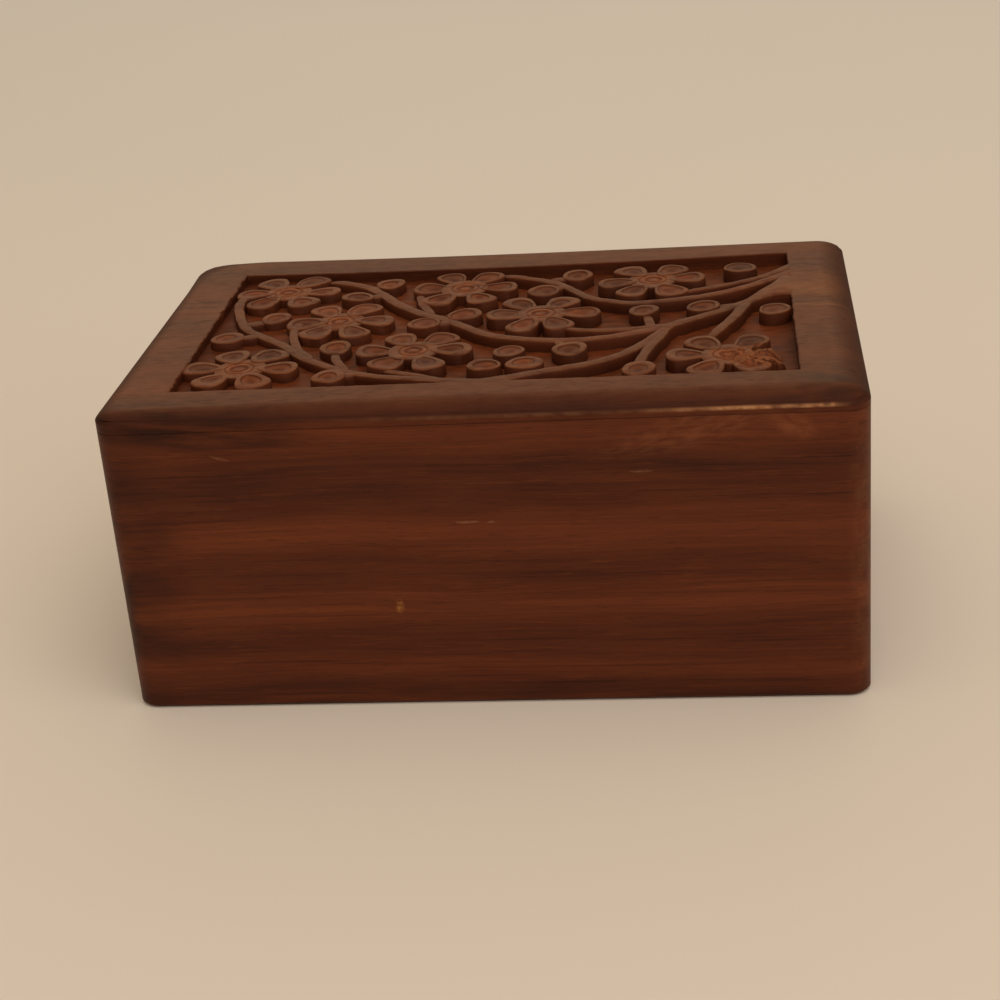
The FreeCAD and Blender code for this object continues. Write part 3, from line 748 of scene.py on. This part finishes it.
    def eased(self, at: Vector, share: float, fall: float) -> Vector:
        """A point of the eased edge, which is crisper on the left and most at the worn corner.

        Args:
            at: The point on the edge of the unit square.
            share: How far down the eased edge, 0 at the flat and 1 at the arris.
            fall: How far the full ease falls there.

        Returns:
            The point in the frame of the box.
        """
        start = self.crisp_from[1]
        back = min(1.0, max(self.front_crisp_share, (at.y - start) / (1 - start)))
        kept = self.ease_kept(at, back)
        inset = self.ease_width * (1 - share) * kept
        return self.outline(at, inset, self.corner_at(at, share), self.top - fall * kept)

    def ease_kept(self, at: Vector, back: float) -> float:
        """How much of the full ease is left at a point of the unit square, for its share of the way back."""
        start = self.crisp_from[0]
        left = min(1.0, max(0.0, (start - at.x) / (1 + start)))
        return 1 - self.crisp_share * (left * back) ** 2

    def arris(self, at: Vector, inset: float, rise: float) -> Vector:
        """A point by the arris, with its inset and its rise in shares of the arris ease."""
        fall = self.ease_drop * self.ease_kept(at, self.front_crisp_share)
        level = self.top - fall + rise * self.arris_ease
        return self.outline(at, inset * self.arris_ease, self.corner_radius, level)

    def corner_at(self, at: Vector, share: float) -> float:
        """The corner radius at a share of the way down the ease, which is largest at the worn corner."""
        start = self.worn_radius if at.x < 0 < at.y else self.flat_radius
        return start + (self.corner_radius - start) * share ** self.corner_power

    def outline(self, at: Vector, inset: float, radius: float, level: float) -> Vector:
        """A point of the board's outline, which has rounded corners.

        Args:
            at: The point on the edge of the unit square.
            inset: How far inside the board's outer face the outline lies.
            radius: Its corner radius.
            level: Its height.

        Returns:
            The point in the frame of the box.
        """
        reach = (self.half[0] - inset, self.half[1] - inset)
        point = Vector((at.x * reach[0], at.y * reach[1], level))
        middle = Vector((*(math.copysign(r - radius, a) for r, a in zip(reach, at.xy)), level))
        if abs(point.x) > abs(middle.x) and abs(point.y) > abs(middle.y):
            point = middle + (point - middle).normalized() * radius
        return point

    def hand_cut(self, at: Vector, outset: float, level: float) -> Vector:
        """A point on the edge of the sunk panel, off its line as a chisel leaves it.

        Args:
            at: The point on the edge of the unit square.
            outset: How far outside the panel's line the point lies.
            level: Its height.

        Returns:
            The point in the frame of the box.
        """
        point = self.panel_place(at, outset, level)
        if outset == max(self.lip_outsets):
            return point
        slow = noise.noise(point / self.slow_mm) * self.hand_wobble
        quick = noise.noise(point / self.quick_mm) * (self.left_wobble if at.x < -EDGE else self.hand_wobble)
        if abs(at.x) > EDGE:
            point.x += slow + quick
        if abs(at.y) > EDGE:
            point.y += slow + quick
        return point

    def panel_place(self, at: Vector, outset: float, level: float) -> Vector:
        """A point of the panel from the unit square, at an outset from its line. Its far edge bows in."""
        bow = self.far_bow * (1 - at.x ** 2) * max(0.0, at.y)
        return Vector((at.x * (self.recess[0] + outset), at.y * (self.recess[1] + outset) - bow, level))

    def wall_room(self, point: Vector) -> float:
        """How far a point of the panel lies from its nearest wall."""
        return min(self.recess[0] - abs(point.x), self.recess[1] - abs(point.y))

    def gouged(self, point: Vector) -> float:
        """How far the ground lies off its level: shallow scoops that meet in low ridges."""
        drift = noise.noise(point / self.gouge_drift_mm)
        along = (point.x + self.gouge_skew[0] * point.y * drift) / self.gouge_mm[0]
        back = (point.y - self.gouge_skew[1] * point.x * drift) / self.gouge_mm[1]
        nearest = noise.voronoi(Vector((along, back, 0.0)))[0][0]
        scoop = self.gouge_depth * (nearest ** 2 - self.gouge_level) + self.gouge_drift_depth * drift
        return scoop + self.left_lift * min(1.0, max(0.0, (self.lift_from - point.x) / self.lift_run))

    def arris_highlight_and_wear(self, point: Vector) -> float:
        """How pale the arris is painted, 0 to 1, as a highlight with wear: faint in the middle of the front,
        bright towards its right.
        """
        faint = min(self.faint_highlight_and_wear, (point.x - self.faint_from) / self.faint_run)
        bright = (point.x - self.bright_from) / self.bright_run
        along = min(1.0, max(faint, bright), (self.highlight_and_wear_end - point.x) / self.end_run)
        front = 1.0 if point.y < -self.half[1] + self.corner_radius else self.side_highlight_and_wear
        nicks = self.nick_highlight_and_wear[0] + self.nick_highlight_and_wear[1] * noise.noise(point / self.nick_mm)
        return min(1.0, max(self.least_highlight_and_wear, along) * front * nicks)

    def cut_for_hinges(self, board: Object) -> None:
        """Cuts the mortises, the barrel room and the bevel behind the hinge axis.

        Args:
            board: The lid board, whose mesh is replaced by the cut one.
        """
        joint = next(j for j in frame["joints"] if j["name"] == "lid_hinge")
        axis = Vector(joint["pos_m"]) / MM
        gap, over = self.mortise_gap, self.cut_overrun
        cutters = []
        for side in ("left", "right"):
            low, high = (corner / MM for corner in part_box(f"{side}_hinge_lid_leaf"))
            deep = self.half[1] + over - low.y + gap
            room = Vector((high.x - low.x + 2 * gap, deep, high.z - axis.z + over))
            middle = Vector(((low.x + high.x) / 2, low.y - gap + room.y / 2, high.z - room.z / 2))
            mortise = bmesh.new()
            bmesh.ops.create_cube(mortise, matrix=Matrix.LocRotScale(middle, None, room))
            barrel = bmesh.new()
            turn = Matrix.Rotation(math.radians(90), 4, "Y")
            bmesh.ops.create_cone(
                barrel, cap_ends=True, segments=self.barrel_sides, radius1=self.barrel_room,
                radius2=self.barrel_room, depth=room.x,
                matrix=Matrix.Translation((middle.x, axis.y, axis.z)) @ turn,
            )
            cutters += [mortise, barrel]
        bevel = bmesh.new()
        tilt = Matrix.Rotation(math.atan(self.bevel_slope) - math.radians(90), 4, "X")
        block = Vector((4 * self.half[0], self.bevel_side, self.bevel_side))
        shape = Matrix.LocRotScale(Vector((0, block.y / 2, block.z / 2)), None, block)
        bmesh.ops.create_cube(bevel, matrix=Matrix.Translation(axis) @ tilt @ shape)
        cutters.append(bevel)
        tools = [to_object(form, "lid_cutter", self.blank(), 30) for form in cutters]
        for tool in tools:
            cut = board.modifiers.new("cut", "BOOLEAN")
            cut.operation, cut.solver, cut.object = "DIFFERENCE", "EXACT", tool
        settled = board.evaluated_get(bpy.context.evaluated_depsgraph_get())
        mesh = bpy.data.meshes.new_from_object(settled)
        board.modifiers.clear()
        board.data = mesh
        while len(mesh.materials) > 1:
            mesh.materials.pop()
        for tool in tools:
            bpy.data.objects.remove(tool)

    def blank(self) -> Material:
        """The wood itself, so that cut faces keep the board's finish."""
        return bpy.data.materials[self.finish.name]

    def carving(self) -> BMesh:
        """Carves the vine: stems first, then the flowers and buds over them.

        Returns:
            The forms, each a closed shell rooted in the ground.
        """
        form = bmesh.new()
        wear_and_light_layers(form)
        for start, end, line in STEM_SHARES:
            self.stem(form, start, end, [self.panel_point(share) for share in line])
        for share in FLOWER_SHARES:
            centre = self.panel_point(share)
            self.flower_heart(form, centre)
            turn = self.spread(self.turn_spread)
            for number in range(self.petals):
                angle = math.radians(360 * number / self.petals + turn + self.spread(self.turn_spread))
                self.petal_at(form, centre, angle, self.petal_reach * self.chance.uniform(*self.reach_spread))
        for along, back, degrees in (*BUD_SHARES, *HALF_FLOWER_SHARES):
            self.petal_at(form, self.panel_point((along, back)), math.radians(degrees), 0.0)
        for neck in NECK_SHARES:
            self.stem(form, *self.neck_widths, [self.panel_point(share) for share in neck])
        torn = [face for face in form.faces if self.is_torn(face.calc_center_median())]
        edges = list(dict.fromkeys(edge for face in torn for edge in face.edges))
        bmesh.ops.subdivide_edges(form, edges=edges, cuts=self.torn_cuts, use_grid_fill=True)
        for vert in form.verts:
            vert.co += self.knife_marks(vert.co)
            vert.co.z = min(vert.co.z, self.top - self.crown_gap)
        bmesh.ops.holes_fill(form, edges=[edge for edge in form.edges if edge.is_boundary])
        bmesh.ops.recalc_face_normals(form, faces=form.faces)
        return form

    def spread(self, most: float) -> float:
        """A chance value between a number and its negative."""
        return self.chance.uniform(-most, most)

    def knife_marks(self, point: Vector) -> Vector:
        """The way from a point's drawn place to its real one, as the knife and long wear leave it."""
        plan = Vector((point.x, point.y, 0.0))
        wander = noise.noise_vector(plan / self.knife_mm) * self.knife_wander
        wander.z *= self.knife_lift
        if self.is_torn(point):
            chipped = self.nearness(point, self.chipped_share, self.chipped_reach)
            fibre = Vector((point.x / self.fibre_mm[0], point.y / self.fibre_mm[1], 0.0))
            wander.z -= chipped * self.torn_depth * max(0.0, noise.noise(fibre) + self.torn_level)
            wander.z -= self.nearness(point, self.broken_share, self.broken_reach) * self.carving_depth
        return wander

    def is_torn(self, point: Vector) -> bool:
        """Whether a point lies on top of the relief where it is chipped."""
        high = point.z > self.ground + self.carving_depth / 2
        return high and self.nearness(point, self.chipped_share, self.chipped_reach) > 0

    def nearness(self, point: Vector, share: Share, reach: float) -> float:
        """How near a point lies to a place on the panel: 1 within half the reach, and 0 beyond it."""
        way = (self.panel_point(share) - point).xy.length
        return min(1.0, 2 * max(0.0, 1.0 - way / reach))

    def panel_point(self, share: Share) -> Vector:
        """A point of the sunk panel from its two shares, at the top of the board."""
        return Vector(((2 * share[0] - 1) * self.recess[0], (2 * share[1] - 1) * self.recess[1], self.top))

    def pad(self, form: BMesh, size: tuple[float, float], height: float,
            rings: Sequence[Ring], drift: Vector) -> list[BMVert]:
        """An upright oval pad, with its brink level with the origin and its top carved in rings.

        Args:
            form: The bmesh that takes it.
            size: Length and width.
            height: Height of its wall.
            rings: The rings of its top, from the brink inwards.
            drift: How far off the middle the innermost ring lies.

        Returns:
            Its points.
        """
        before = set(form.verts)
        worn, grime, fresh = wear_and_light_layers(form)
        made = bmesh.ops.create_cone(
            form, cap_ends=True, segments=self.petal_sides, radius1=self.pad_splay, radius2=1.0, depth=height,
            matrix=Matrix.Translation((0, 0, -height / 2)),
        )["verts"]
        bmesh.ops.scale(form, vec=(size[0] / 2, size[1] / 2, 1.0), verts=made)
        # Painted shade with grime on the pad's wall, darker at its foot
        for vert in made:
            vert[grime] = self.pad_grime_and_shade[0] if vert.co.z > -height / 2 else self.pad_grime_and_shade[1]
        face = max((f for v in made for f in v.link_faces), key=lambda f: f.calc_center_median().z)
        brink = [vert.co.copy() for vert in face.verts]
        for ring in rings:
            face = bmesh.ops.extrude_discrete_faces(form, faces=[face])["faces"][0]
            for vert, edge in zip(face.verts, brink):
                vert.co = edge * ring.share + drift * (1 - ring.share)
                vert.co.z = ring.height
                vert[worn] = ring.worn
                vert[grime] = ring.grime
                vert[fresh] = ring.fresh
        bmesh.ops.poke(form, faces=[face])
        return [vert for vert in form.verts if vert not in before]

    def petal_at(self, form: BMesh, centre: Vector, angle: float, reach: float) -> None:
        """A petal or bud: an oval pad with a broad rim round a hollow that narrows to the flower's eye.

        Args:
            form: The bmesh that takes it.
            centre: Centre of the flower, or of a single bud.
            angle: Which way it points, in radians.
            reach: How far its middle lies from the centre.
        """
        size = tuple(side * self.chance.uniform(*self.size_spread) for side in self.petal)
        brink = self.petal_drop + max(ring.height for ring in PETAL_RINGS)
        drift = Vector((self.chance.uniform(*self.drift_along), self.spread(self.drift_across), 0.0))
        made = self.pad(form, size, self.carving_depth - brink + self.root, self.petal_rings(), drift)
        tip = self.chance.uniform(*(self.petal_taper if reach else self.bud_taper))
        lean = Vector((self.spread(self.lean_spread), self.spread(self.lean_spread)))
        for vert in made:
            vert.co.y *= 1 + tip * vert.co.x / size[0] * 2
            if reach and vert.co.x < 0:
                vert.co.x *= self.petal_stretch
            if vert.co.z > -self.root:
                vert.co.z += lean.dot(vert.co.xy)
        spot = centre + Vector((math.cos(angle), math.sin(angle), 0.0)) * reach
        spot.z = self.top - brink
        turned = Matrix.Translation(spot) @ Matrix.Rotation(angle, 4, "Z")
        bmesh.ops.transform(form, matrix=turned, verts=made)

    def petal_rings(self) -> list[Ring]:
        """The rings of one petal, whose hollow is deeper, wider or fresher than the next one's."""
        deep, wide, fresh = (self.chance.uniform(*span) for span in self.hollow_spreads)
        rim = max(ring.height for ring in PETAL_RINGS)
        return [
            ring if ring.share >= self.hollow_share else replace(
                ring, share=ring.share * wide, height=rim - (rim - ring.height) * deep,
                fresh=ring.fresh * fresh,
            )
            for ring in PETAL_RINGS
        ]

    def flower_heart(self, form: BMesh, centre: Vector) -> None:
        """The middle of a flower, which joins its petals: a low round with a ring and a dot for an eye.

        Args:
            form: The bmesh that takes it.
            centre: Its place.
        """
        brink = self.heart_drop + max(ring.height for ring in HEART_RINGS)
        drift = Vector((self.spread(self.heart_drift), self.spread(self.heart_drift), 0.0))
        size = (self.heart, self.heart)
        made = self.pad(form, size, self.carving_depth - brink + self.root, HEART_RINGS, drift)
        bmesh.ops.translate(form, vec=(centre.x, centre.y, self.top - brink), verts=made)

    def stem(self, form: BMesh, start: float, end: float, points: Sequence[Vector]) -> None:
        """A tapering ridge with a soft crown along a smooth line.

        Args:
            form: The bmesh that takes it.
            start: Width at the start, as a share of the stem width.
            end: Width at the end, as a share of the stem width.
            points: The points that the line passes.
        """
        line = self.smooth_line(points)
        ways = list(accumulate((b - a).length for a, b in zip([line[0], *line], line)))
        section = [*STEM_SECTION, STEM_CROWN, *((-row[0], *row[1:]) for row in reversed(STEM_SECTION))]
        worn, grime, _ = wear_and_light_layers(form)
        face = None
        corners: list[BMVert] = []
        for number, (point, way) in enumerate(zip(line, ways)):
            ahead = line[min(number + 1, len(line) - 1)] - line[max(number - 1, 0)]
            across = Vector((ahead.y, -ahead.x, 0.0)).normalized()
            flare = max(0.0, 1 - way / self.flare_length) ** self.flare_power
            half = (end + (start - end) * flare) * self.stem_width / 2
            ending = max(0.0, 1 - (ways[-1] - way) / self.dive_length) ** 2
            half *= 1 - self.end_narrowing * ending
            half *= min(1.0, self.opening_share + way / self.opening_length)
            crown = self.top - self.crown_drop(point) - self.dive * ending
            if face is None:
                corners = [form.verts.new() for _ in section]
                face = form.faces.new(corners)
            else:
                grown = bmesh.ops.extrude_discrete_faces(form, faces=[face])["faces"]
                face = grown[0]
                corners = list(face.verts)
            for vert, (side, depth, rubbed_and_sheen, dirt_and_shade) in zip(corners, section):
                level = self.ground - self.root if depth is None else crown - depth
                vert.co = Vector((point.x, point.y, level)) + across * (half * side)
                vert[worn] = rubbed_and_sheen
                vert[grime] = dirt_and_shade

    def crown_drop(self, point: Vector) -> float:
        """How far a stem's crown lies below the frame: nothing where it grows out of it."""
        return self.crown_gap + self.stem_drop * max(0.0, min(1.0, self.wall_room(point) / self.drop_run))

    def smooth_line(self, points: Sequence[Vector]) -> list[Vector]:
        """The closely spaced points of a smooth line through the given ones."""
        ends = [2 * points[0] - points[1], *points, 2 * points[-1] - points[-2]]
        line = []
        for before, first, last, after in zip(ends, ends[1:], ends[2:], ends[3:]):
            for step in range(self.line_steps):
                t = step / self.line_steps
                line.append(0.5 * (2 * first + (last - before) * t
                                   + (2 * before - 5 * first + 4 * last - after) * t ** 2
                                   + (3 * first - before - 3 * last + after) * t ** 3))
        return [*line, points[-1]]


@dataclass
class BoxBody:
    """The four walls and the base panel, which keep their constructed shapes."""

    walls: dict[str, Rosewood]
    base: Rosewood

    def dress(self) -> list[Object]:
        """Gives each board its own wood, and returns the dressed boards."""
        woods = {**self.walls, "base_panel": self.base}
        return [dress_node(name, wood.material()) for name, wood in woods.items()]


@dataclass
class Hinges:
    """The two brass hinges and their screws, which keep their constructed shapes."""

    leaf: AgedBrass
    screw: AgedBrass

    def dress(self) -> list[Object]:
        """Gives leaves, pins and screws their brass, and returns the dressed pieces."""
        leaf, screw = self.leaf.material(), self.screw.material()
        names = sorted(name for name in frame["nodes"] if "_hinge_" in name)
        return [dress_node(name, screw if "screw" in name else leaf) for name in names]


def dress_node(name: str, material: Material) -> Object:
    """Assigns a finish to a constructed piece, and returns its object."""
    piece = frame["nodes"][name]
    for slot in piece.material_slots:
        slot.material = material
    return piece


@dataclass
class Studio:
    """A plain pale floor, soft warm light and the camera."""

    floor_size: float = 6.0
    floor_colour: str = "#E8E3E2"
    far_colour: str = "#EDEFF8"
    # Where the floor turns from one colour to the other, in metres behind the middle of the box; the paler,
    # cooler far colour is painted light for the cooler light on the far floor
    far_span: Share = (0.05, 0.9)
    cloud_colour: str = "#C9B79C"
    cloud_share: float = 0.06
    clouds_per_metre: float = 5.0
    floor_roughness: float = 0.9
    floor_specular: float = 0.1
    # The lamps look at this height, in metres
    aim_height: float = 0.04
    lens_mm: float = 71.42
    sensor_mm: float = 36.0
    nearest: float = 0.01
    eye: Triple = (0.0502, -0.4017, 0.2045)
    look_down: float = 24.125
    turn_left: float = 7.474
    lean: float = 4.736
    sky: str = "#FFE4B8"
    sky_strength: float = 0.44

    def build(self) -> None:
        """Sets up the floor, the light and the camera."""
        self.floor()
        self.light()
        self.camera()

    def floor(self) -> None:
        """Lays the floor under the box."""
        material, tree = new_material("pale_matt_floor")
        point = add(tree, "TexCoord").outputs["Object"]
        cloud = add(tree, "TexNoise", {"Vector": point, "Scale": self.clouds_per_metre, "Detail": MEDIUM})
        back = add(tree, "SeparateXYZ", {"Vector": point}).outputs["Y"]
        near_end, far_end = self.far_span
        far = add(tree, "MapRange", {"Value": back, "From Min": near_end, "From Max": far_end})
        # Painted light: paler and cooler towards the back
        colour = blended(tree, far, linear(self.floor_colour), linear(self.far_colour))
        colour = blended(tree, scaled(tree, cloud, self.cloud_share), colour, linear(self.cloud_colour))
        shader = add(tree, "BsdfPrincipled", {
            "Base Color": colour, "Roughness": self.floor_roughness,
            "Specular IOR Level": self.floor_specular,
        })
        add(tree, "OutputMaterial", {"Surface": shader})
        form = bmesh.new()
        bmesh.ops.create_grid(form, x_segments=1, y_segments=1, size=self.floor_size / 2 / MM)
        to_object(form, "floor", material, 30)

    def light(self) -> None:
        """Lights the box softly from the front and above, with a weaker sheet of light behind it."""
        scene = bpy.context.scene
        scene.view_settings.view_transform = "Standard"
        world = bpy.data.worlds.new("studio")
        world.use_nodes = True
        world.node_tree.nodes.clear()
        sky = add(world.node_tree, "Background", {"Color": linear(self.sky), "Strength": self.sky_strength})
        add(world.node_tree, "OutputWorld", {"Surface": sky})
        scene.world = world
        for name, place, size, watts, colour in (
            ("front_above", (0.50, -0.95, 1.20), 1.7, 10.5, "#FFF4E6"),
            ("overhead", (0.10, -0.10, 1.20), 1.2, 2.4, "#FFF0DC"),
            ("behind", (-0.20, 1.60, 0.90), 1.6, 2.8, "#FFEBD2"),
        ):
            data = bpy.data.lights.new(name, "AREA")
            data.energy, data.size, data.color = watts, size, linear(colour)[:3]
            lamp = bpy.data.objects.new(name, data)
            lamp.location = place
            way = Vector((0, 0, self.aim_height)) - Vector(place)
            lamp.rotation_euler = way.to_track_quat("-Z", "Y").to_euler()
            scene.collection.objects.link(lamp)

    def camera(self) -> None:
        """Puts the camera where the box is seen from the front, above and a little to the right."""
        data = bpy.data.cameras.new("camera")
        data.lens, data.sensor_width = self.lens_mm, self.sensor_mm
        data.clip_start = self.nearest
        camera = bpy.data.objects.new("camera", data)
        camera.matrix_world = (
            Matrix.Translation(self.eye)
            @ Matrix.Rotation(math.radians(self.turn_left), 4, "Z")
            @ Matrix.Rotation(math.radians(90 - self.look_down), 4, "X")
            @ Matrix.Rotation(math.radians(-self.lean), 4, "Z")
        )
        bpy.context.scene.collection.objects.link(camera)
        bpy.context.scene.camera = camera


def main() -> None:
    """Builds the looks piece by piece."""
    logging.basicConfig(level=logging.INFO, format="%(name)s: %(message)s")
    # Vector noise starts from the clock unless it has a seed
    noise.seed_set(SEED)
    # Tones of the front board's growth bands from its foot to its top, as dark as they show
    front_bands = ((0.0, 0.0), (0.07, 0.0), (0.15, 0.70), (0.21, 0.05), (0.28, 0.10), (0.36, 1.0),
                   (0.46, 0.15), (0.51, 0.15), (0.60, 0.95), (0.70, 0.05), (0.81, 0.0), (0.91, 0.54))
    dark_sweep = Patch((-57.0, -50.0, 62.6), (33.0, 12.0, 6.5), "#1C0A05", 0.75, (20.0, 4.0, 2.2), -6.0)
    pale_streaks = Patch((44.0, -50.0, 60.0), (26.0, 9.0, 5.0), "#92593A", 0.24, (4.0, 3.0, 1.1), 14.0)
    pale_curl = Patch((61.5, -50.0, 59.5), (5.5, 9.0, 3.2), "#925538", 0.38, (3.2, 3.0, 2.0), -25.0)
    dark_corner = Patch((68.0, -46.0, 64.5), (17.0, 15.0, 5.0), "#1C0A05", 0.6, (11.0, 3.0, 3.0), 10.0)
    front_marks = (
        dark_sweep,
        pale_streaks,
        pale_curl,
        Patch((-74.0, -50.0, 32.0), (16.0, 9.0, 44.0), "#1C0A05", 0.6, (30.0, 4.0, 9.0)),
        Patch((0.0, -50.0, 0.0), (110.0, 9.0, 9.0), "#1C0A05", 0.45, (40.0, 4.0, 4.0)),
        Patch((-3.0, -50.0, 41.1), (3.2, 3.0, 0.35), "#B4866A", 0.36, (1.4, 1.0, 0.5)),
        Patch((2.0, -50.0, 41.0), (1.2, 3.0, 0.35), "#B4866A", 0.3, (1.4, 1.0, 0.5)),
        Patch((31.7, -50.0, 50.9), (3.0, 3.0, 0.35), "#B4866A", 0.26, (1.4, 1.0, 0.5)),
        Patch((-51.0, -50.0, 56.4), (2.6, 3.0, 0.45), "#A0704E", 0.3, (1.4, 1.0, 0.5), -18.0),
        Patch((-18.0, -50.0, 22.8), (1.1, 3.0, 2.0), "#B8843F", 0.4, (0.9, 0.9, 0.8)),
        Patch((75.0, -48.0, 33.0), (5.0, 8.0, 38.0), "#8A5A3C", 0.18, (2.5, 2.5, 6.0)),
    )
    walls = {
        "front_wall": Rosewood(
            "rosewood_front_board", bands=front_bands, drift_mm=3.0, patches=front_marks,
            figure_mm=(190.0, 15.0, 5.0), line_mm=(48.0, 0.8, 0.55), mottle_mm=(30.0, 7.0, 3.5),
        ),
        "back_wall": Rosewood("rosewood_back_board", cut_from_mm=(310.0, 0.0, 0.0), bands=front_bands),
        "left_wall": Rosewood("rosewood_left_board", Grain.ACROSS_THE_BOX, (620.0, 15.0, 9.0)),
        "right_wall": Rosewood("rosewood_right_board", Grain.ACROSS_THE_BOX, (940.0, 44.0, 31.0)),
    }
    base = Rosewood("rosewood_base_board", cut_from_mm=(130.0, 260.0, 70.0), roughness=0.6)
    orange_flecks = Patch((55.0, -28.0, 65.0), (9.0, 9.0, 4.0), "#9C5A32", 0.5, (0.7, 0.6, 0.7))
    warm_frame = Patch((69.0, 12.0, 66.0), (11.0, 13.0, 3.0), "#96602F", 0.26, (9.0, 5.0, 3.0))
    warm_streak = Patch((70.0, 1.0, 66.0), (10.0, 1.6, 3.0), "#A0653A", 0.36, (7.0, 2.0, 3.0))
    lid = Rosewood("rosewood_carved_lid", cut_from_mm=(480.0, 90.0, 140.0), dark="#38180D", light="#6E371D",
                   patches=(dark_sweep, dark_corner, orange_flecks, warm_frame, warm_streak))
    for piece in BoxBody(walls, base).dress():
        LOG.info("dressed %s", piece.name)
    for piece in Hinges(AgedBrass("aged_brass_hinge"), AgedBrass("aged_brass_screw", "#A88145")).dress():
        LOG.info("dressed %s", piece.name)
    for piece in CarvedLid(lid).build():
        LOG.info("built %s with %d faces", piece.name, len(piece.data.polygons))
    Studio().build()


if __name__ == "__main__":
    main()
